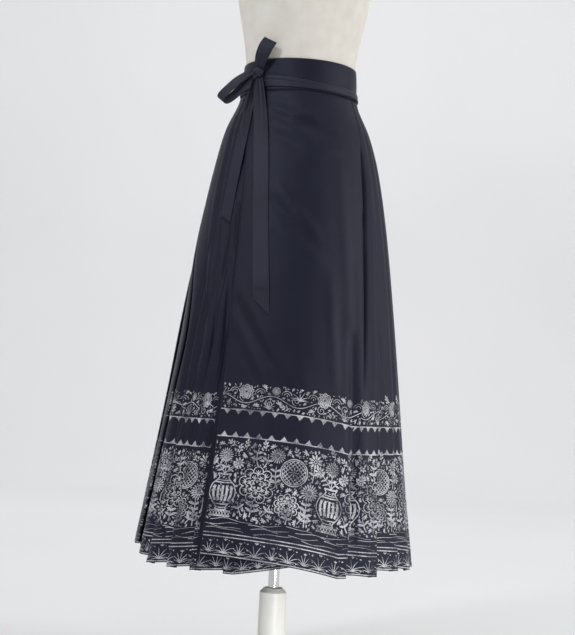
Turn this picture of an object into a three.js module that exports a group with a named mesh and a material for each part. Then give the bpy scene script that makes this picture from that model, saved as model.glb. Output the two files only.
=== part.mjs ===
// Pleated wrap skirt with tie ribbons, hanging on a limbless dress form.
// Millimetres, +Z up, front towards -Y, origin at the centre of the base's underside.
// Every cloth piece is a thin wall through horizontal sections of the garment.

import * as THREE from "three";

// Driving sizes of the skirt
const HEM_Z = 230; // the level hem above the floor
const SKIRT_TOP = 956; // top edge of the waistband above the hem
const BAND_BOTTOM = 894; // lower edge of the waistband above the hem
const SEAM = 0.3; // gap between pieces that are sewn together
const WALL = 1; // cloth wall
const BAND_WALL = 3; // folded waistband with the gathered cloth inside
const RIBBON_WALL = 1.2;

// Form of the skirt. A row is a height above the hem, the half width, the half depths in front
// and behind, and how far the section's centre lies towards +X.
const FORM = [
  { up: 0, width: 266, front: 240, back: 245, shift: -6 },
  { up: 150, width: 245, front: 222, back: 230, shift: -4 },
  { up: 320, width: 223, front: 201, back: 212, shift: 0 },
  { up: 480, width: 203, front: 181, back: 194, shift: 2 },
  { up: 640, width: 181, front: 156, back: 172, shift: 3 },
  { up: 760, width: 159, front: 134, back: 150, shift: 3 },
  { up: 830, width: 140, front: 117, back: 128, shift: 1 },
  { up: 888, width: 115, front: 101, back: 105, shift: 0 },
  { up: 956, width: 108, front: 95, back: 96, shift: 0 },
];

// Heights of the sections that the cloth walls run through
const RINGS = [0, 150, 320, 480, 640, 760, 830, BAND_BOTTOM - SEAM];

// Side edges of the flat panels. A row is a height above the hem and the distances from the
// centre of the front outer panel's free and folded edge, the front inner panel's folded edge
// and both edges of the back panels.
const EDGES = [
  { up: 0, outerFree: 127, outerFold: 133, innerFold: 85, back: 140 },
  { up: 150, outerFree: 116, outerFold: 137, innerFold: 84, back: 136 },
  { up: 320, outerFree: 108, outerFold: 144, innerFold: 83, back: 131 },
  { up: 480, outerFree: 104, outerFold: 139, innerFold: 82, back: 125 },
  { up: 640, outerFree: 99, outerFold: 131, innerFold: 80, back: 118 },
  { up: 760, outerFree: 97, outerFold: 123, innerFold: 78, back: 111 },
  { up: 830, outerFree: 95, outerFold: 114, innerFold: 76, back: 104 },
  { up: 888, outerFree: 92, outerFold: 100, innerFold: 74, back: 92 },
];

// Knife pleats. The layers of a pleat and the depth of cloth folded under both open out
// towards the hem.
const LAYER_TOP = 1.5;
const LAYER_HEM = 4;
const UNDERLAY_TOP = 8;
const UNDERLAY_HEM = 20;
const SIDE_GAP_TOP = 3; // half the space between the two facing groups of pleats
const SIDE_GAP_HEM = 8;
// The pleats from a panel's edge to the side. hem and above are the fold's share of that way at
// the hem and from SPREAD_UP_TO upwards. The hem hangs unevenly: fold is how far it is lifted at
// the pleat's fold, and under is the same where the pleat goes under the one before it.
const SPREAD_UP_TO = 400;
const PLEATS_BESIDE_INNER_PANEL = [
  { hem: 0.3, above: 0.28, fold: 0, under: 5 },
  { hem: 0.54, above: 0.46, fold: 0, under: 6 },
  { hem: 0.83, above: 0.64, fold: 0, under: 7 },
  { hem: 1, above: 1, fold: 12, under: 12 },
];
const PLEATS_BESIDE_OUTER_PANEL = [
  { hem: 0.28, above: 0.28, fold: 0, under: 5 },
  { hem: 0.55, above: 0.55, fold: 6, under: 11 },
  { hem: 0.78, above: 0.78, fold: 3, under: 11 },
  { hem: 1, above: 1, fold: 3, under: 8 },
];
const PLEATS_BEHIND_RIGHT = [
  { hem: 0.25, above: 0.25, fold: 4, under: 8 },
  { hem: 0.5, above: 0.5, fold: 10, under: 15 },
  { hem: 0.75, above: 0.75, fold: 19, under: 23 },
  { hem: 1, above: 1, fold: 28, under: 30 },
];
const PLEATS_BEHIND_LEFT = [
  { hem: 0.25, above: 0.25, fold: 0, under: 5 },
  { hem: 0.5, above: 0.5, fold: 1, under: 7 },
  { hem: 0.75, above: 0.75, fold: 2, under: 6 },
  { hem: 1, above: 1, fold: 3, under: 8 },
];
// Where the two facing groups meet, in degrees from the centre of the front: at the wearer's
// left they meet at the side, and at the right they come round to the front further down
const MEET = [
  { up: 0, left: 90, right: 69 },
  { up: 150, left: 90, right: 68 },
  { up: 320, left: 90, right: 66 },
  { up: 420, left: 90, right: 64 },
  { up: 500, left: 90, right: 68 },
  { up: 600, left: 90, right: 80 },
  { up: 700, left: 90, right: 87 },
  { up: 888, left: 90, right: 90 },
];

// The outer panels lie over the inner ones and their own folded edges
const LIFT_OVER_TOP = 1.9;
const LIFT_OVER_HEM = 6;
// The tie pulls the front panels' free sides up. The outer panel's hem curves down to its fold.
const HEM_PULL = 30;
const HEM_PULL_CURVE = 2.3;
const INNER_HEM_PULL = 33;

const CLOTH_COLOR = 0x23232f;
const FORM_CLOTH_COLOR = 0xe9e4da;
const WHITE_COLOR = 0xf2f2f0;
const CHROME_COLOR = 0xc9cbce;

const clothMaterial = () =>
  new THREE.MeshStandardMaterial({ color: CLOTH_COLOR, roughness: 0.55, metalness: 0 });
const formClothMaterial = () =>
  new THREE.MeshStandardMaterial({ color: FORM_CLOTH_COLOR, roughness: 0.9, metalness: 0 });
const whiteMaterial = () =>
  new THREE.MeshStandardMaterial({ color: WHITE_COLOR, roughness: 0.35, metalness: 0 });
const chromeMaterial = () =>
  new THREE.MeshStandardMaterial({ color: CHROME_COLOR, roughness: 0.15, metalness: 1 });

// A table's column at a height, on a smooth curve through its rows
function column(table, up, name) {
  const last = table.length - 1;
  let i = 0;
  while (i < last - 1 && up > table[i + 1].up) i += 1;
  const slope = (k) => {
    const low = table[Math.max(k - 1, 0)];
    const high = table[Math.min(k + 1, last)];
    return (high[name] - low[name]) / (high.up - low.up);
  };
  const from = table[i];
  const to = table[i + 1];
  const span = to.up - from.up;
  const s = Math.min(Math.max((up - from.up) / span, 0), 1);
  const start = (2 * s ** 3 - 3 * s ** 2 + 1) * from[name];
  const end = (3 * s ** 2 - 2 * s ** 3) * to[name];
  const startSlope = (s ** 3 - 2 * s ** 2 + s) * span * slope(i);
  const endSlope = (s ** 3 - s ** 2) * span * slope(i + 1);
  return start + end + startSlope + endSlope;
}

const blend = (top, hem, up) => hem + ((top - hem) * up) / BAND_BOTTOM;
const layer = (up) => blend(LAYER_TOP, LAYER_HEM, up);
const underlay = (up) => blend(UNDERLAY_TOP, UNDERLAY_HEM, up);
const liftOver = (up) => blend(LIFT_OVER_TOP, LIFT_OVER_HEM, up);
const sideGap = (up) => blend(SIDE_GAP_TOP, SIDE_GAP_HEM, up);

// A point of the skirt's form: turn is the angle from the centre of the front towards +X,
// out is the distance outside the form
function onForm(up, turn, out) {
  const width = column(FORM, up, "width");
  const depth = column(FORM, up, Math.cos(turn) > 0 ? "front" : "back");
  const normal = new THREE.Vector2(Math.sin(turn) / width, -Math.cos(turn) / depth).normalize();
  return new THREE.Vector2(
    width * Math.sin(turn) + column(FORM, up, "shift") + normal.x * out,
    -depth * Math.cos(turn) + normal.y * out,
  );
}

// The angle that a distance along the form takes up
function arc(up, turn, distance) {
  const width = column(FORM, up, "width") * Math.cos(turn);
  const depth = column(FORM, up, Math.cos(turn) > 0 ? "front" : "back") * Math.sin(turn);
  return distance / Math.hypot(width, depth);
}

// The angle of a panel's edge
const edgeTurn = (up, name) => Math.asin(column(EDGES, up, name) / column(FORM, up, "width"));

// Moves an open path in a section sideways, with mitred corners
function beside(path, distance) {
  return path.map((point, i) => {
    const before = path[Math.max(i - 1, 0)];
    const after = path[Math.min(i + 1, path.length - 1)];
    const incoming = (i > 0 ? point.clone().sub(before) : after.clone().sub(point)).normalize();
    const outgoing = (after !== point ? after.clone().sub(point) : incoming.clone()).normalize();
    const normal = new THREE.Vector2(incoming.y + outgoing.y, -incoming.x - outgoing.x);
    normal.normalize();
    const cosine = normal.x * incoming.y - normal.y * incoming.x;
    return point.clone().addScaledVector(normal, distance / cosine);
  });
}

// A closed body between two grids of points that face outwards and inwards.
// back holds true for each strip whose path runs backwards, so that all layers of a pleat are
// cut into triangles along the same diagonals.
function wallBody(outer, inner, closed, back = []) {
  const rows = outer.length;
  const columns = outer[0].length;
  const positions = [];
  for (const grid of [outer, inner]) {
    for (const row of grid) for (const p of row) positions.push(p.x, p.y, p.z);
  }
  const at = (side, i, j) => (side * rows + i) * columns + (j % columns);
  const indices = [];
  const quad = (a, b, c, d, other) => {
    if (other) indices.push(a, b, d, b, c, d);
    else indices.push(a, b, c, a, c, d);
  };
  const strips = closed ? columns : columns - 1;
  for (let i = 0; i < rows - 1; i += 1) {
    for (let j = 0; j < strips; j += 1) {
      const turned = back[j] === true;
      quad(at(0, i, j), at(0, i, j + 1), at(0, i + 1, j + 1), at(0, i + 1, j), turned);
      quad(at(1, i, j), at(1, i + 1, j), at(1, i + 1, j + 1), at(1, i, j + 1), turned);
    }
  }
  for (let j = 0; j < strips; j += 1) {
    const top = rows - 1;
    quad(at(0, 0, j), at(1, 0, j), at(1, 0, j + 1), at(0, 0, j + 1), false);
    quad(at(0, top, j), at(0, top, j + 1), at(1, top, j + 1), at(1, top, j), false);
  }
  if (!closed) {
    const end = columns - 1;
    for (let i = 0; i < rows - 1; i += 1) {
      quad(at(0, i, 0), at(0, i + 1, 0), at(1, i + 1, 0), at(1, i, 0), false);
      quad(at(0, i, end), at(1, i, end), at(1, i + 1, end), at(0, i + 1, end), false);
    }
  }
  const geometry = new THREE.BufferGeometry();
  geometry.setAttribute("position", new THREE.Float32BufferAttribute(positions, 3));
  geometry.setIndex(indices);
  geometry.computeVertexNormals();
  return geometry;
}

const skirt = new THREE.Group();

function addMesh(name, geometry, material) {
  const mesh = new THREE.Mesh(geometry, material);
  mesh.name = name;
  skirt.add(mesh);
  return mesh;
}

// A cloth wall: section(up) lists its points at a height as { turn, out, raise }, where raise
// is how far the cloth there is lifted at the hem. The lift fades out up to the waistband.
function addCloth(name, section) {
  const outer = [];
  const inner = [];
  let back = [];
  for (const up of RINGS) {
    const points = section(up);
    const path = points.map((p) => onForm(up, p.turn, p.out));
    const heights = points.map((p) => HEM_Z + up + p.raise * (1 - up / BAND_BOTTOM));
    const lifted = (flat) => flat.map((p, i) => new THREE.Vector3(p.x, p.y, heights[i]));
    outer.push(lifted(beside(path, WALL / 2)));
    inner.push(lifted(beside(path, -WALL / 2)));
    back = points.slice(1).map((p, i) => p.turn < points[i].turn);
  }
  addMesh(name, wallBody(outer, inner, false, back), clothMaterial());
}

// The folded edge at the angle `fold`, where the cloth turns under
function foldedEdge(up, fold, raise) {
  const h = layer(up);
  const near = arc(up, fold, h / 2);
  return [
    { turn: fold - near, out: 0, raise },
    { turn: fold, out: -h / 2, raise },
    { turn: fold - near, out: -h, raise },
  ];
}

// The end of the cloth turned under, where it turns back to come out below the fold
function innerFold(up, fold, raise) {
  const h = layer(up);
  const near = arc(up, fold, h / 2);
  const deep = fold - arc(up, fold, underlay(up));
  return [
    { turn: deep + near, out: -h, raise },
    { turn: deep, out: -1.5 * h, raise },
    { turn: deep + near, out: -2 * h, raise },
  ];
}

// How deep a pleat's face lies at its middle, in layers
const FACE_MIDDLE = 0.9;

// A quarter of pleats, from the seam under the panel's folded edge to where the groups meet
function pleatQuarter(up, edge, pleats, meet) {
  const h = layer(up);
  const seam = edge - arc(up, edge, underlay(up) / 2 + SEAM);
  const end = meet - arc(up, meet, sideGap(up));
  const spread = Math.min(up / SPREAD_UP_TO, 1);
  const points = [{ turn: seam, out: -h, raise: 0 }, ...innerFold(up, edge, 0)];
  let last = edge;
  for (const pleat of pleats) {
    const fold = edge + (end - edge) * (pleat.hem + (pleat.above - pleat.hem) * spread);
    const level = fold - arc(up, fold, underlay(up));
    const start = last;
    const face = (turn, out) => {
      const share = (turn - start) / (fold - start);
      return { turn, out, raise: pleat.under + (pleat.fold - pleat.under) * share };
    };
    points.push(face(start, -2 * h));
    points.push(face((start + level) / 2, -FACE_MIDDLE * h));
    points.push(face(level, 0));
    points.push(...foldedEdge(up, fold, pleat.fold), ...innerFold(up, fold, pleat.fold));
    last = fold;
  }
  return points;
}

// Both quarters of a side: the back one is laid out like a front one and mirrored
function pleatedSide(up, side, frontEdge, frontPleats, backPleats) {
  const meet = THREE.MathUtils.degToRad(column(MEET, up, side > 0 ? "left" : "right"));
  const front = pleatQuarter(up, frontEdge, frontPleats, meet);
  const back = pleatQuarter(up, edgeTurn(up, "back"), backPleats, Math.PI - meet);
  const mirrored = back.map((p) => ({ ...p, turn: Math.PI - p.turn })).reverse();
  return toSide([...front, ...mirrored], side);
}

// Points that are listed for the +X side, put on the given side so that they still run
// towards +turn
function toSide(points, side) {
  if (side > 0) return points;
  return points.map((p) => ({ ...p, turn: -p.turn })).reverse();
}

// A flat panel from its free edge to its folded edge, with the cloth turned under up to the
// seam. out and raise are functions of the share of the way from the free edge.
const PANEL_STEPS = 12;

function panel(up, freeTurn, foldTurn, out, raise) {
  const points = [];
  const end = foldTurn - arc(up, foldTurn, underlay(up));
  for (let i = 0; i <= PANEL_STEPS; i += 1) {
    const share = i / PANEL_STEPS;
    const turn = freeTurn + (end - freeTurn) * share;
    points.push({ turn, out: out(share), raise: raise(share) });
  }
  points.push(...foldedEdge(up, foldTurn, 0));
  const seam = foldTurn - arc(up, foldTurn, underlay(up) / 2);
  points.push({ turn: seam, out: -layer(up), raise: 0 });
  return points;
}

// How an outer panel settles from lying over the inner one to its own folded edge
const SETTLE_FROM = 0.45;

function overInner(up, share) {
  const s = Math.min(Math.max((share - SETTLE_FROM) / (1 - SETTLE_FROM), 0), 1);
  return liftOver(up) * (1 - s * s * (3 - 2 * s));
}

// An inner panel sinks from its folded edge to lie behind the outer panel's pleats
const underOuter = (up, share) => -2 * layer(up) * (1 - share);

const FREE_EDGE_CLEARANCE = 3; // from an inner panel's free edge to the cloth turned under

function innerPanelEnd(up, edge) {
  return edge - arc(up, edge, underlay(up) + FREE_EDGE_CLEARANCE);
}

const pulledUp = (share) => HEM_PULL * (1 - share ** HEM_PULL_CURVE);

addCloth("front_outer_panel", (up) =>
  panel(
    up,
    -edgeTurn(up, "outerFree"),
    edgeTurn(up, "outerFold"),
    (share) => overInner(up, share),
    pulledUp,
  ),
);

addCloth("front_inner_panel", (up) => {
  const fold = edgeTurn(up, "innerFold");
  const free = -innerPanelEnd(up, edgeTurn(up, "outerFold"));
  const points = panel(
    up,
    free,
    fold,
    (share) => underOuter(up, share),
    (share) => INNER_HEM_PULL * (1 - share),
  );
  return toSide(points, -1);
});

addCloth("left_side_pleats", (up) => {
  const edge = edgeTurn(up, "outerFold");
  return pleatedSide(up, 1, edge, PLEATS_BESIDE_OUTER_PANEL, PLEATS_BEHIND_LEFT);
});

addCloth("right_side_pleats", (up) => {
  const edge = edgeTurn(up, "innerFold");
  return pleatedSide(up, -1, edge, PLEATS_BESIDE_INNER_PANEL, PLEATS_BEHIND_RIGHT);
});

// The back panels run the same way as the front ones, turned half round
const behind = (points) => points.map((p) => ({ ...p, turn: p.turn + Math.PI }));

addCloth("back_outer_panel", (up) => {
  const edge = edgeTurn(up, "back");
  const points = panel(up, -edge, edge, (share) => overInner(up, share), () => 0);
  return behind(points);
});

addCloth("back_inner_panel", (up) => {
  const edge = edgeTurn(up, "back");
  const free = -innerPanelEnd(up, edge);
  const points = panel(up, free, edge, (share) => underOuter(up, share), () => 0);
  return behind(toSide(points, -1));
});

// A band that runs round the form, its middle `out` outside it. Each of its edges and rings is
// a height as a function of the angle.
const BAND_STEPS = 48;

function addBand(name, heights, out, wall) {
  const ring = (heightAt, distance) => {
    const points = [];
    for (let j = 0; j < BAND_STEPS; j += 1) {
      const turn = (2 * Math.PI * j) / BAND_STEPS;
      const height = heightAt(turn);
      const p = onForm(height, turn, distance);
      points.push(new THREE.Vector3(p.x, p.y, HEM_Z + height));
    }
    return points;
  };
  const outer = heights.map((heightAt) => ring(heightAt, out + wall / 2));
  const inner = heights.map((heightAt) => ring(heightAt, out - wall / 2));
  addMesh(name, wallBody(outer, inner, true), clothMaterial());
}

const BAND_OUT = 0.9;
const BAND_RINGS = [0, 0.18, 0.36, 0.62, 1]; // shares of its height
const bandHeight = SKIRT_TOP - BAND_BOTTOM;
const bandRings = BAND_RINGS.map((share) => () => BAND_BOTTOM + bandHeight * share);
addBand("waistband", bandRings, BAND_OUT, BAND_WALL);

// The knot is a soft ball, wider than deep, against the tie
const KNOT = { x: -81, up: 927, width: 12, depth: 8, height: 10 };

// The tie goes once round the lower part of the waistband, folded to half its width. It climbs
// to the knot and opens out there.
const TIE_OUT = BAND_OUT + BAND_WALL / 2 + SEAM + RIBBON_WALL / 2;
const WRAP_BOTTOM = 896;
const WRAP_TOP = 909;
const BOTTOM_CLIMB = 4;
const TOP_CLIMB = 15;
const KNOT_OUT = TIE_OUT + RIBBON_WALL / 2 + SEAM + KNOT.depth;
const knotTurn = Math.asin(KNOT.x / (column(FORM, KNOT.up, "width") + KNOT_OUT));
const nearKnot = (turn) => Math.max(0, Math.cos(turn - knotTurn)) ** 3;
const wrapBottom = (turn) => WRAP_BOTTOM + BOTTOM_CLIMB * nearKnot(turn);
const wrapTop = (turn) => WRAP_TOP + TOP_CLIMB * nearKnot(turn);
addBand("tie_wrap", [wrapBottom, wrapTop], TIE_OUT, RIBBON_WALL);

// A ribbon: each row is a point of its centreline, with up above the hem, and the half of its
// width as a vector. Its wall lies to both sides of it.
function addRibbon(name, rows) {
  const centres = rows.map((r) => new THREE.Vector3(r.x, r.y, HEM_Z + r.up));
  const outer = [];
  const inner = [];
  rows.forEach((row, i) => {
    const before = centres[Math.max(i - 1, 0)];
    const after = centres[Math.min(i + 1, centres.length - 1)];
    const along = after.clone().sub(before).normalize();
    const half = new THREE.Vector3(row.halfX, row.halfY, row.halfUp);
    const normal = new THREE.Vector3().crossVectors(half, along).normalize();
    const edge = (sign, distance) =>
      centres[i].clone().addScaledVector(half, sign).addScaledVector(normal, distance);
    outer.push([edge(-1, RIBBON_WALL / 2), edge(1, RIBBON_WALL / 2)]);
    inner.push([edge(-1, -RIBBON_WALL / 2), edge(1, -RIBBON_WALL / 2)]);
  });
  addMesh(name, wallBody(outer, inner, false), clothMaterial());
}

// A tie's tail hangs on the skirt's front. A row is a height, the distance from the centre
// towards +X, the half width, how far outside the form it hangs, and for its cut tip how much
// higher one corner is than the middle.
function tailRows(table) {
  return table.map((row) => {
    const aside = row.x - column(FORM, row.up, "shift");
    const turn = Math.asin(aside / (column(FORM, row.up, "width") + row.out));
    const place = onForm(row.up, turn, row.out);
    const edge = onForm(row.up, turn + arc(row.up, turn, row.half), row.out).sub(place);
    return {
      x: place.x,
      y: place.y,
      up: row.up,
      halfX: edge.x,
      halfY: edge.y,
      halfUp: row.slant ?? 0,
    };
  });
}

const LONG_TAIL = [
  { up: 473, x: -49, half: 14.5, out: 9, slant: -14 },
  { up: 527, x: -53, half: 15, out: 8.5 },
  { up: 640, x: -60, half: 15, out: 6.8 },
  { up: 760, x: -66, half: 15, out: 6.4 },
  { up: 830, x: -71, half: 14, out: 7.5 },
  { up: 880, x: -76, half: 12, out: 10 },
  { up: 916.8, x: -80, half: 9, out: 12.7 },
];
const SHORT_TAIL = [
  { up: 638, x: -126, half: 12, out: 2.6, slant: -8 },
  { up: 700, x: -118, half: 12.5, out: 2.8 },
  { up: 760, x: -110, half: 12.5, out: 4.9 },
  { up: 830, x: -99, half: 11, out: 5.6 },
  { up: 880, x: -92, half: 9, out: 7 },
  { up: 917, x: -87, half: 5, out: 10.5 },
];
addRibbon("tie_tail_long", tailRows(LONG_TAIL));
addRibbon("tie_tail_short", tailRows(SHORT_TAIL));

const KNOT_SIDES = 16;
const KNOT_ROWS = 8;
const knotPlace = onForm(KNOT.up, knotTurn, KNOT_OUT);
const knot = addMesh(
  "bow_knot",
  new THREE.SphereGeometry(1, KNOT_SIDES, KNOT_ROWS),
  clothMaterial(),
);
knot.geometry.rotateX(Math.PI / 2);
knot.geometry.scale(KNOT.width, KNOT.depth, KNOT.height);
knot.geometry.rotateZ(knotTurn);
knot.position.set(knotPlace.x, knotPlace.y, HEM_Z + KNOT.up);

// A loop of ribbon leaves the knot, turns back at its tip and returns. A row is a place from
// the knot's centre, sideways, up and away from the waistband, and its share of the full
// width, because the ribbon gathers into the knot.
function loopRows(table, half) {
  return table.map((row) => ({
    x: knotPlace.x + row.aside,
    y: knotPlace.y - row.away,
    up: KNOT.up + row.up,
    halfX: half.x * row.share,
    halfY: half.y * row.share,
    halfUp: half.z * row.share,
  }));
}

const SIDE_LOOP = [
  { aside: -10, up: 3, away: 0, share: 0.5 },
  { aside: -23, up: -7, away: 6, share: 0.8 },
  { aside: -38, up: -20, away: 9, share: 1 },
  { aside: -52, up: -34, away: 10, share: 1 },
  { aside: -64, up: -47, away: 10, share: 1 },
  { aside: -68, up: -55, away: 10, share: 1 },
  { aside: -65, up: -60, away: 10, share: 1 },
  { aside: -57, up: -59, away: 10, share: 1 },
  { aside: -45, up: -50, away: 10, share: 1 },
  { aside: -33, up: -37, away: 9, share: 1 },
  { aside: -22, up: -21, away: 6, share: 0.8 },
  { aside: -10, up: -6, away: 0, share: 0.5 },
];
const SIDE_LOOP_HALF = new THREE.Vector3(-4, 10, 4);
const UP_LOOP = [
  { aside: 1, up: 10.9, away: 3, share: 0.7 },
  { aside: 5, up: 28, away: 13, share: 0.9 },
  { aside: 12, up: 45, away: 18, share: 1 },
  { aside: 20, up: 58, away: 18, share: 1 },
  { aside: 20, up: 59, away: 15, share: 1 },
  { aside: 13, up: 47, away: 12, share: 1 },
  { aside: 6, up: 29, away: 8, share: 0.9 },
  { aside: 1, up: 11.3, away: -1, share: 0.7 },
];
const UP_LOOP_HALF = new THREE.Vector3(-12, 3, 6);
addRibbon("bow_loop_side", loopRows(SIDE_LOOP, SIDE_LOOP_HALF));
addRibbon("bow_loop_up", loopRows(UP_LOOP, UP_LOOP_HALF));

// The dress form's torso. A row is a height above the floor, the half width and the half
// depths in front and behind.
const TORSO = [
  { up: 800, width: 138, front: 104, back: 112 },
  { up: 806, width: 146, front: 110, back: 119 },
  { up: 850, width: 155, front: 116, back: 128 },
  { up: 930, width: 153, front: 113, back: 131 },
  { up: 1000, width: 143, front: 105, back: 124 },
  { up: 1060, width: 125, front: 96, back: 108 },
  { up: 1110, width: 109, front: 92, back: 97 },
  { up: 1150, width: 106.3, front: 93, back: 94 },
  { up: 1185, width: 106.8, front: 93.8, back: 94.8 },
  { up: 1240, width: 114, front: 99, back: 96 },
  { up: 1310, width: 128, front: 112, back: 104 },
  { up: 1370, width: 138, front: 122, back: 108 },
  { up: 1430, width: 150, front: 112, back: 108 },
  { up: 1480, width: 162, front: 92, back: 102 },
  { up: 1515, width: 160, front: 74, back: 90 },
  { up: 1540, width: 132, front: 62, back: 76 },
  { up: 1556, width: 96, front: 56, back: 64 },
  { up: 1572, width: 66, front: 52, back: 54 },
  { up: 1600, width: 55, front: 50, back: 48 },
  { up: 1630, width: 53, front: 48, back: 46 },
];
const TORSO_SIDES = 32;

function sectionsBody(table) {
  const positions = [];
  for (const row of table) {
    for (let j = 0; j < TORSO_SIDES; j += 1) {
      const turn = (2 * Math.PI * j) / TORSO_SIDES;
      const depth = Math.cos(turn) > 0 ? row.front : row.back;
      positions.push(row.width * Math.sin(turn), -depth * Math.cos(turn), row.up);
    }
  }
  const top = table.length - 1;
  positions.push(0, 0, table[0].up, 0, 0, table[top].up);
  const bottomCentre = table.length * TORSO_SIDES;
  const indices = [];
  for (let j = 0; j < TORSO_SIDES; j += 1) {
    const next = (j + 1) % TORSO_SIDES;
    for (let i = 0; i < top; i += 1) {
      const low = i * TORSO_SIDES;
      const high = low + TORSO_SIDES;
      indices.push(low + j, low + next, high + next, low + j, high + next, high + j);
    }
    indices.push(bottomCentre, next, j);
    indices.push(bottomCentre + 1, top * TORSO_SIDES + j, top * TORSO_SIDES + next);
  }
  const geometry = new THREE.BufferGeometry();
  geometry.setAttribute("position", new THREE.Float32BufferAttribute(positions, 3));
  geometry.setIndex(indices);
  geometry.computeVertexNormals();
  return geometry;
}

addMesh("form_torso", sectionsBody(TORSO), formClothMaterial());

// Round pieces are turned profiles: pairs of radius and height, from the axis to the axis
const TURNED_SIDES = 40;

function addTurned(name, profile, material) {
  const points = profile.map(([radius, height]) => new THREE.Vector2(radius, height));
  const geometry = new THREE.LatheGeometry(points, TURNED_SIDES);
  geometry.rotateX(Math.PI / 2);
  addMesh(name, geometry, material);
}

const TORSO_TOP = TORSO[TORSO.length - 1].up;
const TORSO_BOTTOM = TORSO[0].up;
const CAP_RADIUS = 56;
const CAP_HEIGHT = 14;
const BASE_RADIUS = 170;
const BASE_HEIGHT = 18;
const BASE_EDGE = 6;
const POST_RADIUS = 26;
const POST_TOP = 178;
const POST_BEVEL = 8;
const POLE_RADIUS = 10.5;

const capBottom = TORSO_TOP + SEAM;
addTurned(
  "form_neck_cap",
  [
    [0, capBottom],
    [CAP_RADIUS, capBottom],
    [CAP_RADIUS, capBottom + CAP_HEIGHT / 2],
    [CAP_RADIUS * 0.9, capBottom + CAP_HEIGHT * 0.85],
    [CAP_RADIUS * 0.6, capBottom + CAP_HEIGHT],
    [0, capBottom + CAP_HEIGHT],
  ],
  whiteMaterial(),
);
addTurned(
  "form_base",
  [
    [0, 0],
    [BASE_RADIUS, 0],
    [BASE_RADIUS, BASE_HEIGHT - BASE_EDGE],
    [BASE_RADIUS - BASE_EDGE, BASE_HEIGHT],
    [0, BASE_HEIGHT],
  ],
  whiteMaterial(),
);
addTurned(
  "form_post",
  [
    [0, BASE_HEIGHT + SEAM],
    [POST_RADIUS, BASE_HEIGHT + SEAM],
    [POST_RADIUS, POST_TOP - POST_BEVEL],
    [POST_RADIUS - POST_BEVEL, POST_TOP],
    [0, POST_TOP],
  ],
  whiteMaterial(),
);
addTurned(
  "form_pole",
  [
    [0, POST_TOP + SEAM],
    [POLE_RADIUS, POST_TOP + SEAM],
    [POLE_RADIUS, TORSO_BOTTOM - SEAM],
    [0, TORSO_BOTTOM - SEAM],
  ],
  chromeMaterial(),
);

export default skirt;
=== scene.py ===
"""A pleated wrap skirt with embroidered borders and a tied bow, on a limbless dress form."""

import math
import random

import bpy
import numpy as np
from mathutils import Matrix, Vector


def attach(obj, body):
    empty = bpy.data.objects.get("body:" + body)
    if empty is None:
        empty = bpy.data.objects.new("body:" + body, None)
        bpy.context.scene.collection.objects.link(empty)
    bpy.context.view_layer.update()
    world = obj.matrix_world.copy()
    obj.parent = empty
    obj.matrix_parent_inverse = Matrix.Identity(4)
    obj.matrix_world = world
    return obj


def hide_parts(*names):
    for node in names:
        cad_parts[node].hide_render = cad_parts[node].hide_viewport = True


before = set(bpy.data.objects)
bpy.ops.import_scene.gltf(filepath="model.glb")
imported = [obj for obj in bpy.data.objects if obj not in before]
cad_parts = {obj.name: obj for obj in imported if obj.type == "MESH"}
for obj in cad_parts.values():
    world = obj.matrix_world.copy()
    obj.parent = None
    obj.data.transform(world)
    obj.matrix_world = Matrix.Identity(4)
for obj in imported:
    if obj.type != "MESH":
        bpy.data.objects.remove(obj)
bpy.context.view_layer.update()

# Driving sizes, in millimetres and degrees like the part's own source
MM = 0.001
HEM_Z = 230
SKIRT_TOP = 956
BAND_BOTTOM = 894
SEAM = 0.3
SHELL = 0.8  # thickness of the cloth shells
RIBBON_SHELL = 0.6


def named_rows(names, *rows):
    """A list of rows, each with the same named columns."""
    return [dict(zip(names.split(), row)) for row in rows]


FORM = named_rows(
    "up width front back shift",
    (0, 266, 240, 245, -6),
    (150, 245, 222, 230, -4),
    (320, 223, 201, 212, 0),
    (480, 203, 181, 194, 2),
    (640, 181, 156, 172, 3),
    (760, 159, 134, 150, 3),
    (830, 140, 117, 128, 1),
    (888, 115, 101, 105, 0),
    (956, 108, 95, 96, 0),
)
EDGES = named_rows(
    "up outerFree outerFold innerFold back",
    (0, 127, 133, 85, 140),
    (150, 116, 137, 84, 136),
    (320, 108, 144, 83, 131),
    (480, 104, 139, 82, 125),
    (640, 99, 131, 80, 118),
    (760, 97, 123, 78, 111),
    (830, 95, 114, 76, 104),
    (888, 92, 100, 74, 92),
)
MEET = named_rows(
    "up left right",
    (0, 90, 69),
    (150, 90, 68),
    (320, 90, 66),
    (420, 90, 64),
    (500, 90, 68),
    (600, 90, 80),
    (700, 90, 87),
    (888, 90, 90),
)
# Each of these is given at the waist and at the hem
LAYER = (1.5, 4)  # from one layer of cloth to the next
UNDERLAY = (8, 20)  # how far a pleat's cloth goes on under its fold
SIDE_GAP = (3, 8)  # from the last pleat to the valley at the side
LIFT_OVER = (1.9, 6)  # how far the outer panel stands out over the inner one
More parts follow.
